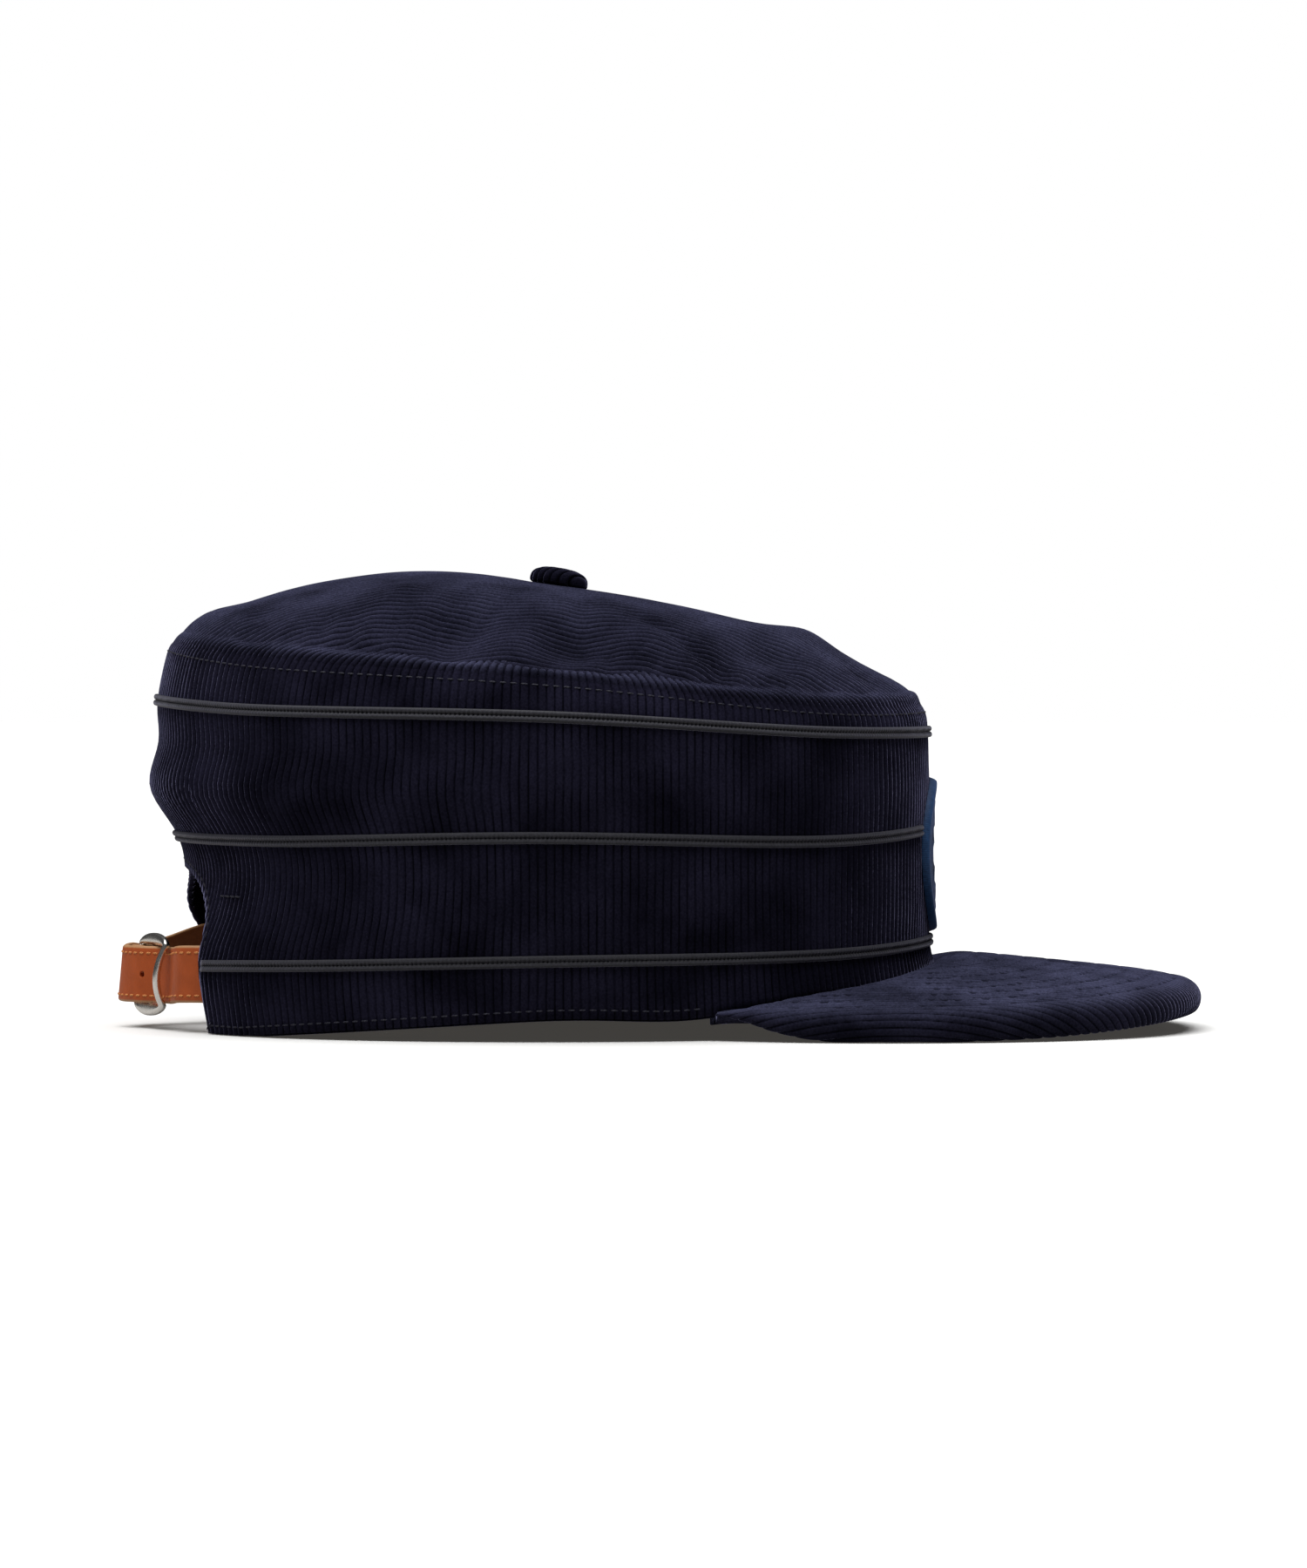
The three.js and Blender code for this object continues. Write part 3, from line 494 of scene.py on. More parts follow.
puckers = [
    dict(angle=a, spread=s, depth=d, long=l, skew=k)
    for a, s, d, l, k in zip(
        np.arange(pucker_count) * 360 / pucker_count + dice.uniform(-3, 3, pucker_count),
        dice.uniform(1.1, 2.6, pucker_count),
        dice.uniform(-0.0011, 0.0008, pucker_count),
        dice.uniform(0.05, 0.13, pucker_count),
        dice.uniform(-60, 60, pucker_count),
    )
]
wrinkle_count = 80
wrinkles = [
    dict(x=x, y=y, turn=t, long=l, wide=w, depth=d)
    for x, y, t, l, w, d in zip(
        dice.uniform(-0.07, 0.07, wrinkle_count),
        dice.uniform(-0.075, 0.075, wrinkle_count),
        dice.uniform(-0.9, 0.9, wrinkle_count),
        dice.uniform(0.008, 0.018, wrinkle_count),
        dice.uniform(0.002, 0.0045, wrinkle_count),
        dice.uniform(-0.0015, 0.0012, wrinkle_count),
    )
]


def rib_wander(x, y):
    """How far the top's ribs stray to the side, in long waves and, in places, in short ones."""
    slow = 0.0006 * np.sin(41 * y + 90 * x) + 0.00045 * np.sin(97 * y - 55 * x + 1.3)
    quick = 0.00028 * np.sin(610 * y + 230 * x) * (0.5 + 0.5 * np.sin(83 * y + 61 * x + 0.7))
    return slow + 0.0002 * np.sin(230 * y + 140 * x) + 1.4 * quick


top_centre = np.array([0, crown_centre_y - top_middle_forward, top_middle_height * crown_height])
rim_below, rim = fine_sheet[seam_row - 1], fine_sheet[seam_row].copy()
rim += unit(rim - rim_below) * seam_gap
rim_bearing = np.unwrap(np.arctan2(rim[:, 0], -(rim[:, 1] - top_centre[1])))
rim_reach = np.hypot(rim[:, 0], rim[:, 1] - top_centre[1])
whole_bearing = np.append(rim_bearing, rim_bearing[0] + 2 * math.pi)
whole_reach = np.append(rim_reach, rim_reach[0])
whole_high = np.append(rim[:, 2], rim[0, 2])


def top_height(x, y):
    """The height of the top's outer face over a place in plan, and how far out the place is."""
    bearing = np.arctan2(x, -(y - top_centre[1])) % (2 * math.pi)
    angle = np.interp(bearing, whole_bearing, whole_angles)
    out = np.clip(np.hypot(x, y - top_centre[1]) / np.interp(bearing, whole_bearing, whole_reach), 0, 1)
    rim_high = np.interp(angle, whole_angles, whole_high)
    outs = np.array([0] + [ring["out"] for ring in top_rings] + [1])
    highs = np.array(
        [np.full(x.shape, top_centre[2])]
        + [round_the_cap(ring["heights"], angle) * crown_height for ring in top_rings]
        + [rim_high])
    across = round_the_cap(top_rings[0]["heights"], angle + 180) * crown_height
    slopes = [(highs[1] - across) / (2 * outs[1])]
    for k in range(1, len(outs) - 1):
        before = (highs[k] - highs[k - 1]) / (outs[k] - outs[k - 1])
        after = (highs[k + 1] - highs[k]) / (outs[k + 1] - outs[k])
        slopes.append((before + after) / 2)
    slopes.append((highs[-1] - highs[-2]) / (outs[-1] - outs[-2]))
    slopes = np.array(slopes)
    k = np.clip(np.searchsorted(outs, out, side="right") - 1, 0, len(outs) - 2)
    width = outs[k + 1] - outs[k]
    t = (out - outs[k]) / width
    start, end, leaving, arriving = (
        np.take_along_axis(table, row[None], axis=0)[0]
        for table, row in ((highs, k), (highs, k + 1), (slopes, k), (slopes, k + 1)))
    high = hermite(start, end, leaving * width, arriving * width, t)
    push = np.zeros(x.shape)
    for fold in top_folds:
        aside = from_front(angle - fold["angle"]) / fold["spread"]
        push += fold["depth"] * fold_depth * bell(aside) * bell((out - fold["out"]) / fold["long"])
    for pucker in puckers:
        aside = from_front(angle - pucker["angle"] - pucker["skew"] * (1 - out)) / pucker["spread"]
        push += pucker["depth"] * bell(aside) * bell((out - pucker_out) / pucker["long"])
    for wrinkle in wrinkles:
        ahead, aside = y - crown_centre_y - wrinkle["y"], x - wrinkle["x"]
        over = (aside * math.cos(wrinkle["turn"]) + ahead * math.sin(wrinkle["turn"])) / wrinkle["long"]
        beside = (ahead * math.cos(wrinkle["turn"]) - aside * math.sin(wrinkle["turn"])) / wrinkle["wide"]
        push += wrinkle["depth"] * bell(over) * bell(beside) * (1 - bell(x / smooth_middle))
    inward = np.clip((1 - out) / puff_reach, 0, 1)
    puff = seam_puff * np.sqrt(inward) * (1 - inward) ** 2 * (1 - 0.6 * bell(from_front(angle) / 50))
    return high + push * (1 - out**fold_fade) + puff, out


rib_step = rib_pitch / rib_samples
widest = np.abs(rim[:, 0]).max()
ribs_each_way = int(widest / rib_step)
near_end = widest - np.array([0, 0.00001, 0.00004, 0.0001, 0.00018])
top_x = np.arange(-ribs_each_way, ribs_each_way + 1) * rib_step
top_x = np.unique(np.concatenate([-near_end, top_x, near_end]))
front_half = np.cos(np.radians(fine_angles)) >= 0
half_rims = [half[np.argsort(half[:, 0])] for half in (rim[front_half], rim[~front_half])]
front_y, back_y = (np.interp(top_x, half[:, 0], half[:, 1]) for half in half_rims)
side_y = (front_y[[0, -1]] + back_y[[0, -1]]) / 2
front_y[[0, -1]] = back_y[[0, -1]] = side_y


def top_face(rows):
    """The top's outer face, one row of points along each line from front to back, and how far out each is."""
    even = np.linspace(0, 1, rows)
    share = row_evenness * even + (1 - row_evenness) * (0.5 - 0.5 * np.cos(math.pi * even))
    y = front_y[:, None] + (back_y - front_y)[:, None] * share[None, :]
    x = np.repeat(top_x[:, None], rows, axis=1)
    z, out = top_height(x, y)
    return np.stack([x, y, z], axis=-1), out


def face_normals(face):
    """The way up and out of a face at each of its points."""
    normal = np.cross(np.gradient(face, axis=0), np.gradient(face, axis=1))
    flat = np.linalg.norm(normal, axis=-1) < 1e-12
    normal[flat] = (0, 0, 1)
    normal = unit(normal)
    normal[normal[..., 2] < 0] *= -1
    return normal


top_outer, top_out = top_face(top_rows)
top_normal = face_normals(top_outer)
top_pile = rib_height(top_outer[..., 0] + rib_wander(top_outer[..., 0], top_outer[..., 1])) ** 2
top_relief = top_rib_depth * (top_pile - top_rib_rest) * (1 - top_out**rib_fade)
top_outer = top_outer + top_normal * top_relief[..., None]
top_inner = top_face(top_inner_rows)[0]
top_inner = (top_inner - face_normals(top_inner) * cloth_wall)[:, ::-1]
top_columns = np.concatenate([top_outer, top_inner], axis=1)
# Painted shade darkens the grooves, and the inner face (tone -1) takes the darkest groove shade.
shade_tone_rows = np.concatenate([top_pile, np.full(top_inner.shape[:2], -1.0)], axis=1)
# Painted sheen (lie) lightens the whole top a little, and most along its ridge, which faces up to the light.
top_painted_sheen = top_shine + ridge_shine * bell(top_outer[..., 0] / ridge_spread)
top_painted_sheen = np.concatenate([top_painted_sheen, np.zeros(top_inner.shape[:2])], axis=1)
crown_top = sewn_body("crown_top_cloth", top_columns, closed_round=False, tone=shade_tone_rows, lie=top_painted_sheen)
crown_top.data.materials.append(corduroy)
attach(crown_top, "root")
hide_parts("crown_top")

# Seam gather: the band's cloth drawn up over the seam and bunched down on the top's edge, its ribs leaning
# and ending in fingers whose crests are lit by painted sheen. It is sewn down by the row of stitches under
# it.
gather_rows = 18
gather_under = 4
gather_start = stitch_row + 0.4
gather_reach = 0.0034
gather_swell = 0.0012
gather_wall = 0.0012
gather_sunk = 0.0003
gather_end_sunk = 0.0006
gather_rib_depth = 1.9 * rib_depth
gather_rib_rest = 0.65
gather_painted_sheen = 2.2
sheen_middle = 0.62
sheen_spread = 0.25
gather_foot = between_levels(band_sheet_fine, np.full((1, len(band_angles)), gather_start))[0]
seam_place = band_sheet_fine[seam_row]
seam_up = unit(seam_place - gather_foot)
seam_out = band_normal[-1]
inside = gather_reach * (1 + 0.22 * np.sin(13 * band_turn) + 0.18 * np.sin(29 * band_turn + 1))
inside_plan = seam_place[:, :2] + unit(top_centre[:2] - seam_place[:, :2]) * inside[:, None]
inside_high = top_height(inside_plan[:, 0], inside_plan[:, 1])[0] - gather_end_sunk
gather_end = np.column_stack([inside_plan, inside_high])
shoulder = seam_place + unit(seam_out + seam_up) * gather_swell
over_seam = np.linspace(0, 1, gather_rows)[:, None]
t = over_seam[..., None]
gather_foot = gather_foot - seam_out * gather_sunk
gather_face = gather_foot * (1 - t) ** 3 + 3 * shoulder * t * (1 - t) + gather_end * t**3
gather_normal = unit(np.cross(around(gather_face, axis=1), np.gradient(gather_face, axis=0)))
gather_over = gather_start - stitch_row + 2 * over_seam
gather_pile = rib_height(band_distance[None, :] + gather_lean(gather_over, band_angles[None, :]))
gather_outer = gather_face + gather_normal * (gather_rib_depth * (gather_pile - gather_rib_rest))[..., None]
gather_pick = np.round(np.linspace(gather_rows - 1, 0, gather_under)).astype(int)
gather_inner = (gather_face - gather_normal * gather_wall)[gather_pick]
gather_columns = np.concatenate([gather_outer, gather_inner], axis=0).transpose(1, 0, 2)
# Painted sheen (lie) lightens the rib crests over the gather's shoulder, where it turns up to the light;
# painted shade darkens its grooves and its underside (tone -1).
painted_crest_sheen = gather_painted_sheen * gather_pile**2 * bell((over_seam - sheen_middle) / sheen_spread)
below = np.zeros((gather_under, len(band_angles)))
seam_gather = sewn_body(
    "seam_gather_cloth", gather_columns, tone=np.concatenate([gather_pile, below - 1]).T,
    lie=np.concatenate([painted_crest_sheen, below]).T)
seam_gather.data.materials.append(corduroy)
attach(seam_gather, "root")

# Crown button: a domed shell covered in the same corduroy, riveted down on the middle of the top.
button_diameter = 0.015
button_height = 0.0054
button_squareness = 2.6
button_rib_turn = math.radians(55)
button_rib_depth = 1.8 * rib_depth
button_under_share = 0.3
button_tuck = 0.6
bpy.ops.mesh.primitive_uv_sphere_add(segments=144, ring_count=60, radius=1)
button = bpy.context.object
button.name = "crown_button_cloth"
ball = np.empty(len(button.data.vertices) * 3)
button.data.vertices.foreach_get("co", ball)
ball = ball.reshape(-1, 3)
ball_reach = np.hypot(ball[:, 0], ball[:, 1])
power = 2 / button_squareness
dome = np.where(
    ball[:, 2] > 0, button_under_share + (1 - button_under_share) * np.abs(ball[:, 2]) ** power,
    button_under_share * (1 + ball[:, 2]))
dome_reach = np.where(ball[:, 2] > 0, ball_reach**power, ball_reach**button_tuck)
dome_reach *= button_diameter / 2 / np.maximum(ball_reach, 1e-9)
across_ribs = (ball[:, 0] * math.cos(button_rib_turn) + ball[:, 1] * math.sin(button_rib_turn)) * dome_reach
button_pile = rib_height(across_ribs)
swell = button_rib_depth * (button_pile - 1)
button_places = np.stack([
    ball[:, 0] * dome_reach + ball[:, 0] * swell,
    ball[:, 1] * dome_reach + ball[:, 1] * swell,
    dome * button_height + np.maximum(ball[:, 2], 0) * swell,
], axis=-1)
near_ring = top_rings[0]
ahead = near_ring["out"] * (band_levels[-1]["front"] + band_levels[-1]["back"]) * crown_length / 2
button_slope = math.atan((near_ring["heights"][4] - near_ring["heights"][0]) * crown_height / ahead)
leaned = button_places.copy()
leaned[:, 1] = button_places[:, 1] * math.cos(button_slope) - button_places[:, 2] * math.sin(button_slope)
leaned[:, 2] = button_places[:, 1] * math.sin(button_slope) + button_places[:, 2] * math.cos(button_slope)
leaned += top_centre + np.array([0, 0, seam_gap])
button.data.vertices.foreach_set("co", leaned.ravel())
# Painted shade in the grooves between the button's ribs (tone).
button_tone = button.data.attributes.new("tone", "FLOAT", "POINT")
button_tone.data.foreach_set("value", (button_pile**2).astype(np.float32))
button.data.shade_smooth()
button.data.materials.append(corduroy)
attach(button, "root")
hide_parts("crown_button")

# Braid: three rows of dark grey twin-cord braid, each sewn to the band by a line of stitches down its middle.
# The middle row stops at both sides of the roundel, and the bottom one at the arch.
braid_step = 0.00026
braid_lobe = 0.00073
braid_rise = 0.0005
braid_lobe_rise = 0.0006
strand_pitch = 0.0009
braid_stitch_pitch = 0.00105
braid_pit = 0.0005
pit_spread = 0.0003
braid_trim = 0.0012
braid_sewn_lift = 0.00005
strand_relief = 0.00005
painted_side_shade = 0.18
painted_middle_shade = 0.35
painted_under_shade = 0.3
taper_steps = 8
taper_end = 0.15
braid_rows = [
    dict(node="braid_top", row=7, start=0, end=360),
    dict(node="braid_middle", row=4, start=15, end=345),
    dict(node="braid_bottom", row=1, start=0, end=360),
]

braid_grey, tree, shader = new_material("grey_braid", {
    "Roughness": 0.6, "Specular IOR Level": 0.25, "Sheen Weight": 0.3, "Sheen Tint": (0.7, 0.7, 0.9, 1),
})
# The braid's grey, running from painted shade up to painted highlight along its tone.
braid_colour_with_painted_light = colour_ramp(tree, mesh_value(tree, "tone"), (0.0015, 0.0015, 0.002, 1), (0.032, 0.032, 0.042, 1))
yarn_height, yarn = mottling(tree, 1500, 0.45, 1.55)
finish_surface(tree, shader, scaled(tree, braid_colour_with_painted_light, yarn), yarn_height, 0.4, 0.0002)


def on_band(angles, row, whole):
    """Points of the band's outer face along one row, which may go round it all, and the ways up and out."""
    sheet = band_sheet(angles)
    rows = np.full((1, len(angles)), float(row))
    middle = between_levels(sheet, rows)[0]
    up = unit(between_levels(sheet, rows + 0.1)[0] - between_levels(sheet, rows - 0.1)[0])
    along = around(middle)
    if not whole:
        along[0], along[-1] = middle[1] - middle[0], middle[-1] - middle[-2]
    return middle, up, unit(np.cross(along, up))


for braid in braid_rows:
    whole = braid["end"] - braid["start"] == 360
    turns = (braid["end"] - braid["start"]) / 360
    steps = int(girth * turns / braid_step)
    share = np.arange(steps) / (steps if whole else steps - 1)
    start_mark, end_mark = np.interp([braid["start"], braid["end"]], whole_angles, girth_marks)
    marks = start_mark + (end_mark - start_mark) * share
    middle, up, out = on_band(np.interp(marks, girth_marks, whole_angles), braid["row"], whole)
    rings, tones = [], []
    stitch = np.clip(1.3 * np.cos(2 * math.pi * marks / braid_stitch_pitch), 0, 1)
    for lobe in (-1, 1):
        for turn in np.radians(np.arange(180, 0 if lobe < 0 else -1, -30)):
            across = lobe * braid_lobe + braid_lobe * math.cos(turn)
            strand = strand_relief * np.cos(2 * math.pi * marks / strand_pitch + lobe * 2 * turn)
            near_middle = bell(across / pit_spread)
            high = braid_rise + (braid_lobe_rise + strand) * math.sin(turn) - braid_pit * stitch * near_middle
            rings.append(middle + up * across + out * high[:, None])
            # Painted light on the cords: a painted highlight along each lobe's crest, painted shade down its
            # sides and along the sewn middle, darkest in the stitch pits.
            crest = painted_side_shade + (1 - painted_side_shade) * math.sin(turn) ** 6
            tones.append(crest * (1 - near_middle) + painted_middle_shade * near_middle * (1 - stitch))
    # The rows pressed under the braid are painted in shade.
    for across in (1, 0, -1):
        rings.append(middle + up * (across * 1.9 * braid_lobe) + out * braid_sewn_lift)
        tones.append(np.full(steps, painted_under_shade))
    columns = np.array(rings).transpose(1, 0, 2)
    tones = np.array(tones).T
    if braid["node"] == "braid_bottom":
        beside_arch = np.maximum(np.abs(columns[:, 0, 0]) - braid_trim, 0)
        opening = (columns[:, 0, 2] < arch_line(beside_arch)) & (columns[:, 0, 1] > crown_centre_y)
        first, last = np.argmax(opening), steps - 1 - np.argmax(opening[::-1])
        columns = np.concatenate([columns[last + 1:], columns[:first]])
        tones = np.concatenate([tones[last + 1:], tones[:first]])
        out = np.concatenate([out[last + 1:], out[:first]])[:, None]
        to_end = np.minimum(np.arange(len(columns)), np.arange(len(columns))[::-1])
        rise = ((columns - columns[:, -2:-1]) * out).sum(axis=-1, keepdims=True)
        columns = columns - out * rise * (1 - np.clip(to_end / taper_steps, taper_end, 1))[:, None, None]
        whole = False
    piece = sewn_body(braid["node"] + "_cord", columns, closed_round=whole, tone=tones)
    piece.data.materials.append(braid_grey)
    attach(piece, "root")
    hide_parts(braid["node"])

# Brim: a stiff curved peak covered above and below in corduroy and sewn to the band's hem, its ribs running
# forward and round its edge, and quilted with rows of stitches that follow the edge.
brim_width = 0.176
brim_thickness = 0.005
brim_corner_thickness = 0.0024
brim_curve = 0.0038
brim_curve_power = 0.7
brim_under_share = 0.8
brim_lip = 0.002
brim_tip_lift = 0.0046
brim_tip_sweep = 2.4
brim_corner_lift = 0.0046
brim_corner_sweep = 1.6
brim_half_angle = 65
brim_squareness = 2.2
brim_front_share = 50 / 65
brim_roll = 0.006
brim_roll_share = 0.7
brim_low_lift = 0.0002
brim_tip_reach = 0.016
brim_rib_samples = 5
brim_rows = 180
brim_under_rows = 22
roll_steps = 40
quilt_first = 0.0062
quilt_pitch = 0.0063
quilt_stitch = 0.0042
quilt_depth = 0.001
quilt_width = 0.00055
quilt_stagger = 0.37
nip_pitch = 0.0052
curve_start = 0.045
curve_fall = 0.05
edge_squareness = 9
lift_margin = 0.04
inset_share = 0.93
roll_under_share = 0.68
roll_middle_share = 0.42
tip_thinness = 0.3
roll_pitch = 0.0004
brim_shine = 2.8
roll_shine = 0.4


def hem_line(angles, inside):
    """The band's lower edge in plan and height, on its outer or inner face."""
    sheet = band_sheet(np.concatenate([[angles[0] - 0.5], angles, [angles[-1] + 0.5]]))[0]
    along = sheet[2:] - sheet[:-2]
    away = unit(np.stack([along[:, 1], -along[:, 0], np.zeros(len(angles))], axis=-1))
    return sheet[1:-1] - away * (cloth_wall if inside else 0)


def brim_outline(angles):
    """The brim's lower edge at angles from its middle, and the brim's thickness there."""
    share = np.abs(angles) / brim_half_angle
    side = np.sign(angles)
    power = 2 / brim_squareness
    turn = math.pi / 2 * np.minimum(share / brim_front_share, 1)
    corner = hem_line(np.array([-brim_half_angle, brim_half_angle], float), False)[1]
    corner_turn = math.radians(brim_half_angle)
    corner = corner + brim_lip * np.array([math.sin(corner_turn), -math.cos(corner_turn), 0])
    back = np.clip((share - brim_front_share) / (1 - brim_front_share), 0, 1)
    x = np.where(share <= brim_front_share, brim_width / 2 * np.sin(turn) ** power,
                 brim_width / 2 + (corner[0] - brim_width / 2) * back**brim_squareness)
    y = np.where(share <= brim_front_share, -brim_middle - brim_reach * np.clip(np.cos(turn), 0, 1) ** power,
                 -brim_middle + (corner[1] - crown_centre_y + brim_middle) * back)
    lift_from = brim_front_share + lift_margin
    near = np.clip((share - lift_from) / (1 - lift_from), 0, 1)
    near = (near * near * (3 - 2 * near)) ** brim_corner_sweep
    ahead = np.maximum(0, (-y - brim_middle) / brim_reach)
    lift = brim_tip_lift * ahead**brim_tip_sweep + brim_corner_lift * near
    thick = brim_thickness + (brim_corner_thickness - brim_thickness) * near
    return np.stack([side * x, y + crown_centre_y, lift], axis=-1), thick


def brim_face(upper):
    """The brim's upper or lower face without its rolled edge, to read its height from."""
    angles = np.linspace(-brim_half_angle, brim_half_angle, 521)
    across = np.linspace(0, 1, 121)[:, None]
    inner, outer = hem_line(angles, True), hem_line(angles, False)
    edge, thick = brim_outline(angles)
    length = np.hypot(edge[:, 0] - outer[:, 0], edge[:, 1] - outer[:, 1])
    curve = brim_curve * (length / length.max()) ** brim_curve_power
    seat = outer[:, 2] - seam_gap
    rise = (1 - np.exp(-across / curve_start)) * (1 - curve_fall * across)
    rise = rise * np.sqrt(1 - across**edge_squareness)
    plan = outer + (edge - outer) * across[..., None]
    start, end = (seat, edge[:, 2] + thick) if upper else (seat - thick * brim_under_share, edge[:, 2])
    high = start + (end - start) * across + curve * rise
    places = np.concatenate([inner[None], plan])
    places[..., 2] = np.concatenate([high[:1], high])
    corner = np.arange(places[..., 0].size).reshape(places.shape[:2])
    quads = np.stack([corner[:-1, :-1], corner[:-1, 1:], corner[1:, 1:], corner[1:, :-1]], axis=-1)
    return BVHTree.FromPolygons(places.reshape(-1, 3).tolist(), quads.reshape(-1, 4).tolist())


def drop_onto(tree, x, y):
    """A face's height at places in plan, or at its nearest point where it doesn't reach them."""
    high = np.empty(x.size)
    for k, (px, py) in enumerate(zip(x.ravel(), y.ravel())):
        hit = tree.ray_cast((px, py, 0.05), (0, 0, -1))[0]
        if hit is None:
            hit = tree.find_nearest((px, py, 0.01))[0]
        high[k] = hit[2]
    return high.reshape(x.shape)


outline_angles = np.linspace(-brim_half_angle, brim_half_angle, 5201)
outline = brim_outline(outline_angles)[0]
outline_marks = length_marks(outline[:, :2])
outline_along = unit(np.gradient(outline[:, :2], axis=0))
outline_away = np.stack([outline_along[:, 1], -outline_along[:, 0]], axis=-1)
outline_hem = hem_line(outline_angles, False)[:, :2]
outline_roll = np.minimum(brim_roll, brim_roll_share * np.linalg.norm(outline[:, :2] - outline_hem, axis=1))
inset_line = outline[:, :2] - outline_away * (outline_roll * inset_share)[:, None]
widest_at = np.argmax(inset_line[:, 0])
front_part = inset_line[len(outline_angles) // 2: widest_at + 1]
rear_part = inset_line[widest_at:]
hem_angles = np.linspace(brim_half_angle, 0, 261)
hem_inner = hem_line(hem_angles[::-1], True)[::-1, :2]
start_line = np.concatenate([rear_part, hem_inner])[::-1]
brim_rib_step = rib_pitch / brim_rib_samples
brim_steps = int((inset_line[:, 0].max() - 0.00005) / brim_rib_step)
brim_x = np.arange(-brim_steps, brim_steps + 1) * brim_rib_step
brim_start = np.interp(np.abs(brim_x), start_line[:, 0], start_line[:, 1])
brim_end = np.interp(np.abs(brim_x), front_part[:, 0], front_part[:, 1])


def brim_sheet(upper, rows):
    """The brim's upper or lower face along its ribs, from the band to the rolled edge."""
    share = np.linspace(0, 1, rows)[None, :]
    y = brim_start[:, None] + (brim_end - brim_start)[:, None] * share
    x = np.repeat(brim_x[:, None], rows, axis=1)
    high = drop_onto(brim_face(upper), x, y)
    for _ in range(2):
        high[:, 1:-1] = (high[:, :-2] + 2 * high[:, 1:-1] + high[:, 2:]) / 4
        high[1:-1] = (high[:-2] + 2 * high[1:-1] + high[2:]) / 4
    return np.stack([x, y, high], axis=-1)


def quilting(places):
    """How deep the quilting stitches pull the cloth in, from 0 to 1."""
    flat = places[..., :2].reshape(-1, 2)
    marks_line, marks_at = outline[::8, :2], outline_marks[::8]
    pull = np.empty(len(flat))
    block = 8000
    for start in range(0, len(flat), block):
        part = flat[start:start + block]
        apart = np.linalg.norm(part[:, None, :] - marks_line[None], axis=-1)
        nearest = np.argmin(apart, axis=1)
        inward = apart[np.arange(len(part)), nearest]
        row = np.round((inward - quilt_first) / quilt_pitch)
        off_row = inward - quilt_first - np.maximum(row, 0) * quilt_pitch
        along = (marks_at[nearest] / quilt_stitch + row * quilt_stagger) % 1
        dash = np.clip(6 * (0.34 - np.abs(along - 0.5)), 0, 1)
        pull[start:start + block] = bell(off_row / quilt_width) * (0.15 + 0.85 * dash)
    return pull.reshape(places.shape[:2])


def brim_normals(face, up):
    """The way out of the brim's upper face, where up is 1, or its lower one, where it is -1."""
    normal = unit(np.cross(np.gradient(face, axis=0), np.gradient(face, axis=1)))
    normal[normal[..., 2] * up < 0] *= -1
    return normal


brim_pile = rib_height(brim_x)[:, None]
brim_top = brim_sheet(True, brim_rows)
top_pull = quilting(brim_top)
groove = np.round(brim_x / rib_pitch).astype(int)
groove_start = dice.uniform(0, 2 * math.pi, groove.max() - groove.min() + 1)[groove - groove.min()]
nips = np.sin(2 * math.pi * brim_top[..., 1] / nip_pitch + groove_start[:, None])
pinched = np.clip(1.6 * nips - 0.3, 0, 1)
top_rib = brim_pile ** (1.2 + 6 * pinched)
top_relief = 1.5 * rib_depth * (top_rib - rib_rest) - quilt_depth * top_pull
brim_top = brim_top + brim_normals(brim_top, 1) * top_relief[..., None]
brim_low = brim_sheet(False, brim_under_rows)
brim_low = brim_low + brim_normals(brim_low, -1) * (rib_depth * (brim_pile - rib_rest))[..., None]
brim_low[..., 2] = np.maximum(brim_low[..., 2], brim_low_lift)
brim_columns = np.concatenate([brim_top, brim_low[:, ::-1]], axis=1)
# Painted shade darkens the ribs' grooves and the quilting's stitch dimples; painted sheen (lie) lightens the
# whole upper face but not the underside.
shade_tone_rows = np.concatenate(
    [top_rib * (1 - 0.9 * top_pull), np.repeat(brim_pile, brim_under_rows, axis=1)], axis=1)
brim_painted_sheen = np.concatenate([np.full(brim_top.shape[:2], brim_shine), np.zeros(brim_low.shape[:2])], axis=1)
brim_cloth = sewn_body("brim_cloth", brim_columns, closed_round=False, tone=shade_tone_rows, lie=brim_painted_sheen)

roll_count = int(outline_marks[-1] / roll_pitch)
roll_marks = np.linspace(0, outline_marks[-1], roll_count)
roll_angles = np.interp(roll_marks, outline_marks, outline_angles)
roll_edge = brim_outline(roll_angles)[0]
roll_away = read_line(roll_marks, outline_marks, outline_away)
roll_wide = np.interp(roll_marks, outline_marks, outline_roll)
roll_inner = roll_edge[:, :2] - roll_away * roll_wide[:, None]
tip_near = np.clip(np.minimum(roll_marks, roll_marks[-1] - roll_marks) / brim_tip_reach, 0, 1)
tip_thin = tip_thinness + (1 - tip_thinness) * tip_near * (2 - tip_near)
roll_high, roll_low = (drop_onto(brim_face(upper), *roll_inner.T) for upper in (True, False))
roll_low = roll_high - (roll_high - roll_low) * tip_thin
roll_foot = roll_high - (roll_high - roll_edge[:, 2]) * tip_thin
roll_middle = roll_foot + (roll_high - roll_foot) * roll_middle_share
rings, piles, lies = [], [], []
wrapped = np.zeros(roll_count)
before = np.column_stack([roll_inner, roll_high])
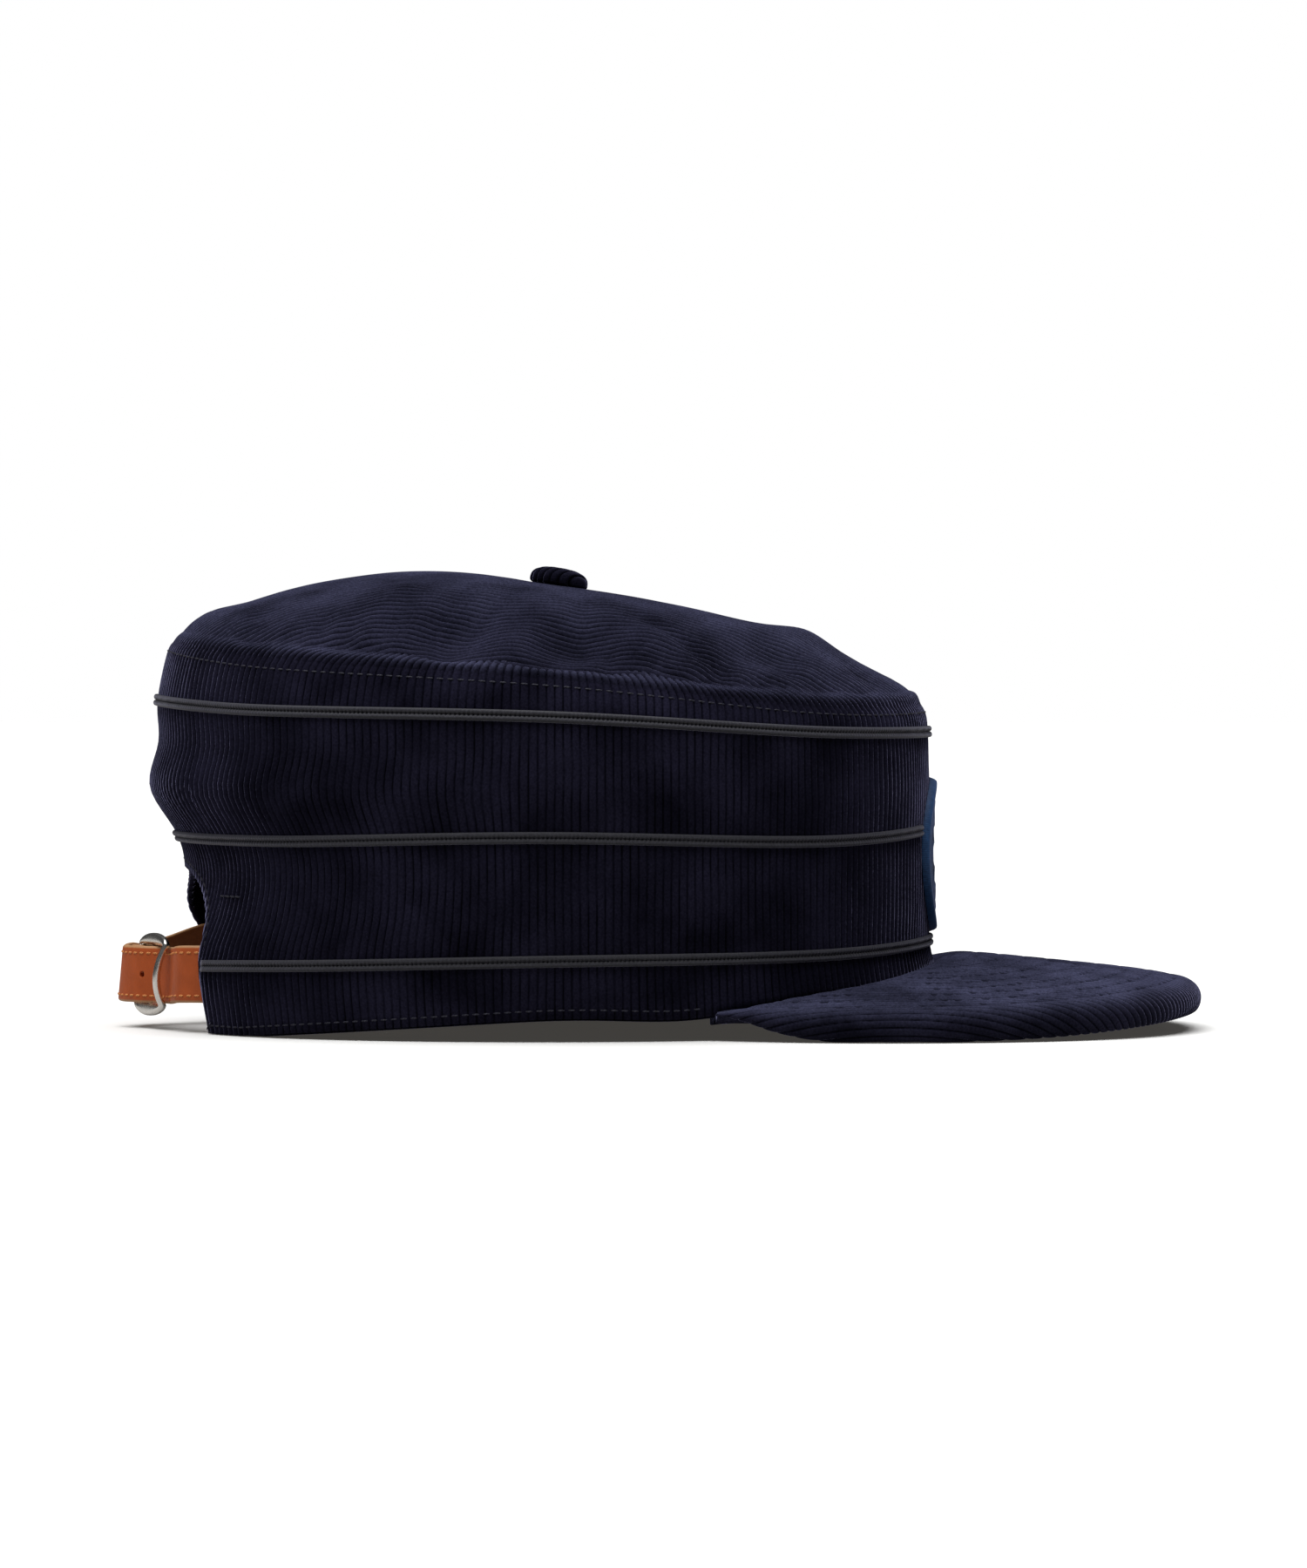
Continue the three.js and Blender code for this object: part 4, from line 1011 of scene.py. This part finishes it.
for turn in np.linspace(math.pi / 2, -math.pi / 2, roll_steps):
    reach = math.cos(turn) if turn > 0 else roll_under_share + (1 - roll_under_share) * math.cos(turn)
    rise = np.where(turn >= 0, roll_high - roll_middle, roll_middle - roll_foot) * math.sin(turn)
    plan = roll_inner + roll_away * (roll_wide * reach)[:, None]
    here = np.column_stack([plan, roll_middle + rise])
    wrapped = wrapped + np.linalg.norm(here - before, axis=1)
    before = here
    pile = rib_height(roll_inner[:, 0] + roll_away[:, 0] * wrapped)
    ridge = rib_depth * (pile - rib_rest) * np.minimum(1, tip_thin * 1.2)
    plan = plan + roll_away * (ridge * math.cos(turn))[:, None]
    high = roll_middle + rise + ridge * math.sin(turn)
    rings.append(np.concatenate([plan, np.maximum(high, 0.0)[:, None]], axis=1))
    # Painted shade in the roll's grooves (tone), and painted sheen (lie) that is strongest where the roll
    # faces up.
    piles.append(pile)
    lies.append(np.full(roll_count, roll_shine + (brim_shine - roll_shine) * max(0, math.sin(turn)) ** 2))
rings.append(np.concatenate([roll_inner, roll_low[:, None]], axis=1))
piles.append(np.ones(roll_count))
lies.append(np.zeros(roll_count))
roll_columns = np.array(rings).transpose(1, 0, 2)
brim_edge = sewn_body(
    "brim_edge_cloth", roll_columns, closed_round=False, tone=np.array(piles).T, lie=np.array(lies).T)
for piece in (brim_cloth, brim_edge):
    piece.data.materials.append(corduroy)
    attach(piece, "root")
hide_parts("brim")

# Front roundel: a round badge of dark felt sewn to the front of the band, edged and ringed with blue satin
# stitch round a plain rosette.
patch_width = 0.042
patch_height = 0.039
patch_spokes = 480
patch_rings = 44
rosette_petals = 8
satin_rays = 240
satin_relief = 0.00008
felt_lift = 0.0007
edge_lift = 0.0010
ring_lift = 0.0005
braid_width = 0.0029
patch_middle = band_levels[1]["heights"][0] * crown_height + braid_width / 2 + seam_gap * 2 + patch_height / 2
patch_half_turn = math.degrees(math.asin(patch_width / crown_width))


def band_spots(angles, heights):
    """Points of the band's outer face at angles round it and heights, with the ways up and out at each."""
    column = np.round(angles % 360 / 360 * len(fine_angles)).astype(int) % len(fine_angles)
    sheet = fine_sheet[:, column]
    level = np.arange(len(sheet))
    rows = np.array([[np.interp(high, line, level) for high, line in zip(heights, sheet[..., 2].T)]])
    spots = between_levels(sheet, rows)[0]
    up = unit(between_levels(sheet, rows + 0.05)[0] - between_levels(sheet, rows - 0.05)[0])
    after = between_levels(fine_sheet[:, (column + 20) % len(fine_angles)], rows)[0]
    return spots, up, unit(np.cross(after - spots, up))


spoke = np.linspace(0, 2 * math.pi, patch_spokes, endpoint=False)
ring_out = np.linspace(0, 1, patch_rings)
spoke_grid, ring_grid = np.meshgrid(spoke, ring_out, indexing="ij")
patch_angles = (ring_grid * np.cos(spoke_grid) * patch_half_turn).ravel()
patch_heights = (patch_middle + ring_grid * np.sin(spoke_grid) * patch_height / 2).ravel()
patch_spots, _, patch_out = band_spots(patch_angles, patch_heights)
edge_ring = bell((ring_grid - 0.93) / 0.09)
petal_edge = 0.42 + 0.16 * np.abs(np.cos(spoke_grid * rosette_petals / 2))
inner_ring = bell((ring_grid - 0.7) / 0.03) + 0.9 * bell((ring_grid - petal_edge) / 0.04)
satin = np.abs(np.sin(spoke_grid * satin_rays / 2))
patch_rise = felt_lift + edge_lift * edge_ring + ring_lift * inner_ring
patch_rise = patch_rise + satin_relief * satin * (edge_ring + inner_ring)
patch_rise = patch_rise * np.clip((1 - ring_grid) / 0.05, 0, 1) ** 0.5
patch_spots, patch_out = (rows.reshape(patch_spokes, patch_rings, 3) for rows in (patch_spots, patch_out))
patch_front = patch_spots + patch_out * (seam_gap + patch_rise)[..., None]
patch_back = (patch_spots + patch_out * seam_gap * 0.8)[:, ::-1]
# Blue thread on the rings and bare felt between; painted shade darkens the gaps between the satin strands.
thread_tone = np.clip(1.3 * (edge_ring + inner_ring) - 0.25, 0, 1) * (0.55 + 0.45 * satin)
roundel = sewn_body(
    "front_roundel", np.concatenate([patch_front, patch_back], axis=1),
    tone=np.concatenate([thread_tone, np.zeros(thread_tone.shape)], axis=1))

roundel_thread, tree, shader = new_material("blue_thread_on_felt", {
    "Roughness": 0.55, "Specular IOR Level": 0.15, "Sheen Weight": 0.3, "Sheen Tint": (0.4, 0.45, 0.8, 1),
})
thread_colour = colour_ramp(
    tree, mesh_value(tree, "tone"), (0.0022, 0.0024, 0.0065, 1), (0.022, 0.075, 0.2, 1))
felt_height, felt = mottling(tree, 1100, 0.3, 1.7, detail=5)
finish_surface(tree, shader, scaled(tree, thread_colour, felt), felt_height, 0.5, 0.0002)
roundel.data.materials.append(roundel_thread)
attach(roundel, "root")
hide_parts("front_patch")

# Thread: twisted navy sewing thread, in a row above the top braid and one round the hem and arch, which hold
# the folded cloth, and in four tacks at each side of the arch.
stitch_pitch = 0.0026
stitch_inset = 0.0021
stitch_lift = 0.0001
stitch_size = (0.0009, 0.00022, 0.0002)
tack_height = 0.034
tack_lift = 0.0003
tack_size = (0.0012, 0.00025, 0.00025)


def stitches(name, places, alongs, outs, size):
    """One mesh of short rounded stitches: size is half a stitch's length, width and height."""
    rounds, slices = 6, 8
    lie = np.linspace(0, math.pi, rounds)
    spin = np.linspace(0, 2 * math.pi, slices, endpoint=False)
    ball_x = np.repeat(np.cos(lie), slices)
    ball_y = np.outer(np.sin(lie) ** 0.7, np.cos(spin)).ravel()
    ball_z = np.outer(np.sin(lie) ** 0.7, np.sin(spin)).ravel()
    asides = unit(np.cross(outs, alongs))
    points = (places[:, None] + alongs[:, None] * (ball_x * size[0])[None, :, None]
              + asides[:, None] * (ball_y * size[1])[None, :, None]
              + outs[:, None] * (ball_z * size[2])[None, :, None])
    corner = np.arange(rounds * slices).reshape(rounds, slices)
    beside = np.roll(corner, -1, axis=1)
    quads = np.stack([corner[:-1], beside[:-1], beside[1:], corner[1:]], axis=-1).reshape(-1, 4)
    faces = (quads[None] + np.arange(len(places))[:, None, None] * rounds * slices).reshape(-1, 4)
    mesh = bpy.data.meshes.new(name)
    mesh.from_pydata(points.reshape(-1, 3).tolist(), [], faces.tolist())
    work = bmesh.new()
    work.from_mesh(mesh)
    bmesh.ops.remove_doubles(work, verts=work.verts, dist=2e-6)
    bmesh.ops.recalc_face_normals(work, faces=work.faces)
    work.to_mesh(mesh)
    work.free()
    mesh.shade_smooth()
    piece = bpy.data.objects.new(name, mesh)
    bpy.context.collection.objects.link(piece)
    return piece


def stitch_line(name, line, aways):
    """A row of stitches at an even pitch along a line of points that lie on a face."""
    marks = length_marks(line)
    at = np.arange(stitch_pitch / 2, marks[-1], stitch_pitch)
    spots, outs = read_line(at, marks, line), unit(read_line(at, marks, aways))
    return stitches(name, spots + outs * stitch_lift, unit(np.gradient(spots, axis=0)), outs, stitch_size)


def twisted_thread(name, dark, light):
    """A thread's material: fine slanting plies, with painted shade between them and a painted highlight along
    them.
    """
    thread, tree, shader = new_material(name, {"Roughness": 0.5, "Specular IOR Level": 0.2})
    place = tree.nodes.new("ShaderNodeTexCoord").outputs["Object"]
    plies = add_node(tree, "ShaderNodeTexWave", {"Vector": place, "Scale": 700, "Distortion": 2})
    plies.bands_direction = "DIAGONAL"
    tree.links.new(colour_ramp(tree, plies.outputs["Fac"], dark, light), shader.inputs["Base Color"])
    return thread


navy_thread = twisted_thread("navy_thread", (0.01, 0.01, 0.017, 1), (0.035, 0.035, 0.055, 1))

top_line, _, top_away = on_band(fine_angles, stitch_row, True)
top_stitching = stitch_line("top_stitching", top_line, top_away)
hem_keep = (band_angles > brim_half_angle + 1) & (band_angles < 359 - brim_half_angle)
inset = band_face[0] - edge_out * stitch_inset
hem_stitching = stitch_line("hem_stitching", inset[hem_keep], band_normal[0][hem_keep])
tack_angles = np.array([209.2, 210.9, 212.6, 214.3])
tack_angles = np.concatenate([tack_angles, 360 - tack_angles])
tack_places, tack_up, tack_out = band_spots(tack_angles, np.full(len(tack_angles), tack_height))
arch_tacks = stitches(
    "arch_tacks", tack_places + tack_out * tack_lift, np.cross(tack_up, tack_out), tack_out, tack_size)
for piece in (top_stitching, hem_stitching, arch_tacks):
    piece.data.materials.append(navy_thread)
    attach(piece, "root")

# Strap: a tan leather tongue from the right of the arch, stitched near both edges and punched, and a thinner
# leather keeper from the left, folded round the buckle's rear bar. Both are sewn inside the band.
strap_width = 0.0144
strap_centre_height = 0.0146
strap_cant = 0.0045
strap_lean = 5
tongue_thickness = 0.0018
keeper_thickness = 0.0013
strap_bulge = 0.0243
strap_tail = 0.01
hole_diameter = 0.0016
buckle_length = 0.024
buckle_height = 0.021
buckle_turn = math.radians(20)
buckle_wire = 0.0019
buckle_lobe = 0.0026
buckle_bow = 0.002
fold_slack = 0.00025
tongue_holes = (0.586, 0.88)
path_step = 0.0004
face_steps = 15
side_steps = 7
edge_softness = 0.42
raw_face = 0.3
strap_stitch_pitch = 0.0022
strap_stitch_inset = 0.0018
strap_stitch_size = (0.0008, 0.0003, 0.00024)


def inside_seat(angle, thickness, rise):
    """Where a strap sewn inside the band lies, at an angle round the cap."""
    line = fine_sheet[:, round(angle % 360 / 360 * len(fine_angles)) % len(fine_angles)]
    away = np.array([math.sin(math.radians(angle)), -math.cos(math.radians(angle)), 0])
    centre = strap_centre_height + rise * strap_cant
    reach = line @ away - cloth_wall
    inward = np.interp(centre + np.linspace(-0.5, 0.5, 5) * strap_width, line[:, 2], reach).min()
    here = read_line(centre, line[:, 2], line)
    return here + away * (inward - here @ away - seam_gap * 1.6 - thickness / 2)


strap_top_share = (strap_centre_height + strap_width / 2) / arch_height
arch_half_at_strap = arch_width / 2 * (1 - strap_top_share**arch_squareness) ** (1 / arch_squareness)
arch_edge_angle = 180 - math.degrees(math.asin(arch_half_at_strap / (crown_width / 2)))
arch_edge_y = inside_seat(arch_edge_angle, tongue_thickness, 0)[1]


def strap_place(side, out, rise):
    """A place on a strap's path, as shares of the arch's half width, the bulge behind it and the cant."""
    high = strap_centre_height + rise * strap_cant
    return np.array([side * arch_half_at_strap, arch_edge_y + out * strap_bulge, high])


def strap_tail_line(side, rise, thickness):
    """The end of a strap that is sewn inside the band, beside the arch."""
    turn = math.degrees(strap_tail / (crown_width / 2))
    return [inside_seat(side * (arch_edge_angle - turn * share), thickness, rise) for share in (1, 0.5, 0)]


def smooth_path(stops):
    """A centripetal spline through the stops, at an even step."""
    stops = np.array([2 * stops[0] - stops[1], *stops, 2 * stops[-1] - stops[-2]])
    line = []
    for a, b, c, d in zip(stops, stops[1:], stops[2:], stops[3:]):
        g0, g1, g2 = (math.sqrt(np.linalg.norm(q - p)) for p, q in ((a, b), (b, c), (c, d)))
        start = ((b - a) / g0 - (c - a) / (g0 + g1) + (c - b) / g1) * g1
        end = ((c - b) / g1 - (d - b) / (g1 + g2) + (d - c) / g2) * g1
        t = np.linspace(0, 1, 60, endpoint=False)[:, None]
        line.append(hermite(b, c, start, end, t))
    line = np.concatenate([*line, stops[-2:-1]])
    marks = length_marks(line)
    at = np.linspace(0, marks[-1], int(marks[-1] / path_step) + 1)
    return read_line(at, marks, line)


def lean_back(points):
    """The strap and buckle leaning back at the top, where they are clear of the arch's sides."""
    near, far = (arch_edge_y + strap_bulge * share for share in (0.2, 0.7))
    free = np.clip((points[..., 1] - near) / (far - near), 0, 1)
    free = free * free * (3 - 2 * free)
    leaned = points.copy()
    leaned[..., 1] -= (points[..., 2] - strap_centre_height) * math.tan(math.radians(strap_lean)) * free
    return leaned


def strap_columns(path, thickness, tip, outer):
    """Loops round a strap along its path, and how raw the leather is at each place."""
    along = unit(np.gradient(path, axis=0))
    side = unit(np.stack([along[:, 1], -along[:, 0], np.zeros(len(path))], axis=-1)) * outer
    length = np.linalg.norm(np.diff(path, axis=0), axis=1).sum()
    left = np.linspace(length, 0, len(path)) / tip
    half = strap_width / 2 * np.sqrt(1 - (1 - np.minimum(left, 1)) ** 2 * 0.75)
    soft = thickness * edge_softness
    loop, raw = [], []
    for end, rawness in ((1, 0), (-1, raw_face)):
        for up in np.linspace(-end, end, face_steps):
            loop.append((end * thickness / 2, up, -up * soft))
            raw.append(rawness)
        for turn in np.linspace(0, math.pi, side_steps)[1:-1]:
            loop.append((end * thickness / 2 * math.cos(turn), end, end * soft * (math.sin(turn) - 1)))
            raw.append(1)
    up = np.array([0, 0, 1])
    columns = [path + side * across + up * (half * share + shift)[:, None] for across, share, shift in loop]
    columns = np.stack(columns, axis=1)
    return lean_back(columns), np.tile(np.array(raw, float), (len(path), 1)), along, side, half


buckle_along = np.array([math.cos(buckle_turn), math.sin(buckle_turn), 0])
buckle_face = np.array([-math.sin(buckle_turn), math.cos(buckle_turn), 0])
bar_span = buckle_length - buckle_wire
rear_bar = strap_place(0.08, 0.84, -0.22)
near_bar = rear_bar - buckle_along * bar_span
bar_clearance = buckle_wire / 2 + seam_gap
fold_radius = bar_clearance + fold_slack + keeper_thickness / 2
over_bar = fold_radius + keeper_thickness / 2 + fold_slack + seam_gap + tongue_thickness / 2
under_bar = bar_clearance + tongue_thickness / 2
tongue_path = smooth_path([
    *strap_tail_line(-1, 0, tongue_thickness),
    strap_place(-0.76, 0.33, -0.05),
    near_bar - buckle_face * under_bar,
    near_bar + (rear_bar - near_bar) * 0.25 - buckle_face * under_bar * 0.5,
    near_bar + (rear_bar - near_bar) * 0.6 + buckle_face * over_bar * 0.72,
    rear_bar + buckle_face * over_bar,
    strap_place(0.28, 0.965, -0.1), strap_place(0.42, 0.885, 0), strap_place(0.54, 0.77, 0.15),
])
fold_turns = np.radians([-90, -45, 0, 45, 90])
beside_bar = [(1.2, -1), *((-math.cos(t), math.sin(t)) for t in fold_turns), (0.9, 0.9), (1.9, 0.2)]
keeper_path = smooth_path([
    *strap_tail_line(1, 1, keeper_thickness),
    strap_place(0.8, 0.34, 0.65), strap_place(0.56, 0.625, 0.15), strap_place(0.36, 0.775, -0.1),
    *(rear_bar + (buckle_along * along + buckle_face * out) * fold_radius for along, out in beside_bar),
])

leather, tree, shader = new_material("tan_leather", {"Roughness": 0.48, "Specular IOR Level": 0.3})
raw_colour = colour_ramp(tree, mesh_value(tree, "tone"), (0.45, 0.087, 0.018, 1), (0.5, 0.26, 0.12, 1))
grain = mottling(tree, 260, 0.75, 1.25, detail=6)[1]
place = tree.nodes.new("ShaderNodeTexCoord").outputs["Object"]
pores = add_node(tree, "ShaderNodeTexVoronoi", {"Vector": place, "Scale": 1900})
finish_surface(tree, shader, scaled(tree, raw_colour, grain), pores.outputs["Distance"], 0.25, 0.0002)
tan_thread = twisted_thread("tan_thread", (0.5, 0.16, 0.045, 1), (0.85, 0.36, 0.12, 1))

columns, raw, tongue_along, tongue_side, tongue_half = strap_columns(tongue_path, tongue_thickness, 0.016, -1)
tongue = sewn_body("strap_tongue_leather", columns, closed_round=False, tone=raw)
for share in tongue_holes:
    here = round(share * (len(tongue_path) - 1))
    middle = lean_back(tongue_path[here])
    bpy.ops.mesh.primitive_cylinder_add(vertices=24, radius=hole_diameter / 2, depth=tongue_thickness * 3,
                                        location=middle)
    punch = bpy.context.object
    punch.rotation_mode = "QUATERNION"
    punch.rotation_quaternion = Vector(tongue_side[here]).to_track_quat("Z", "Y")
    cut = tongue.modifiers.new("hole", "BOOLEAN")
    cut.operation = "DIFFERENCE"
    cut.object = punch
    bpy.context.view_layer.objects.active = tongue
    bpy.ops.object.modifier_apply(modifier=cut.name)
    bpy.data.objects.remove(punch)
columns, raw, *_ = strap_columns(keeper_path, keeper_thickness, 0.004, 1)
keeper = sewn_body("strap_keeper_leather", columns, closed_round=False, tone=raw)
for piece, node in ((tongue, "strap_tongue"), (keeper, "strap_keeper")):
    piece.data.materials.append(leather)
    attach(piece, "root")
    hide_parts(node)

every = round(strap_stitch_pitch / path_step)
picks = np.arange(every, len(tongue_path) - every * 2, every)
rows = []
for end in (-1, 1):
    high = np.array([0, 0, 1]) * (end * (tongue_half[picks] - strap_stitch_inset))[:, None]
    rows.append(lean_back(tongue_path[picks] + tongue_side[picks] * (tongue_thickness / 2 + 0.00004) + high))
strap_stitching = stitches(
    "strap_stitching", np.concatenate(rows), np.concatenate([tongue_along[picks]] * 2),
    np.concatenate([tongue_side[picks]] * 2), strap_stitch_size)
strap_stitching.data.materials.append(tan_thread)
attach(strap_stitching, "root")

# Buckle: one polished nickel frame bent from wire, its near bar bowed out over the tongue and its ends
# flattened into broad lobes. The keeper's fold holds its rear bar.
frame_middle = (near_bar + rear_bar) / 2
bar_half = strap_width / 2 + seam_gap
lobe_rise = (buckle_height - buckle_lobe) / 2 - bar_half
lobe_fill = 0.0011
top_fill_share = 0.4
lobe_squareness = 0.35
bar_steps = 14
lobe_steps = 44
wire_steps = 28
loops = []
for end in (1, -1):
    for step in range(bar_steps):
        high = end * (2 * step / bar_steps - 1)
        loops.append((end, high * bar_half, 0 if end > 0 else buckle_bow * (1 - high * high), 0))
    for step in range(lobe_steps):
        turn = math.pi * step / lobe_steps
        loops.append((end * math.cos(turn), end * (bar_half + lobe_rise * math.sin(turn)), 0, turn))
rings = []
for along, high, bow, turn in loops:
    broad = math.sin(turn) ** 2
    fill = lobe_fill * (1 if high < 0 else top_fill_share)
    thick = (buckle_wire + (buckle_lobe + fill - buckle_wire) * broad) / 2
    high -= np.sign(high) * fill / 2 * broad
    middle = frame_middle + buckle_along * along * bar_span / 2 + buckle_face * bow + np.array([0, 0, high])
    steep = np.sign(high) * math.sin(turn) * bar_span / 2
    radial = unit(buckle_along * along * lobe_rise + np.array([0, 0, steep]))
    power = 1 - lobe_squareness * broad
    spin = np.linspace(0, 2 * math.pi, wire_steps, endpoint=False)
    wide = np.sign(np.cos(spin)) * np.abs(np.cos(spin)) ** power
    deep = np.sign(np.sin(spin)) * np.abs(np.sin(spin)) ** power
    rings.append(middle + radial * (thick * wide)[:, None] + buckle_face * (buckle_wire / 2 * deep)[:, None])
buckle = sewn_body("buckle_frame_metal", lean_back(np.array(rings)))

nickel, tree, shader = new_material("polished_nickel", {"Base Color": (0.82, 0.8, 0.77, 1), "Metallic": 1})
tree.links.new(mottling(tree, 700, 0.16, 0.34)[1], shader.inputs["Roughness"])
buckle.data.materials.append(nickel)
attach(buckle, "root")
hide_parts("buckle_frame")
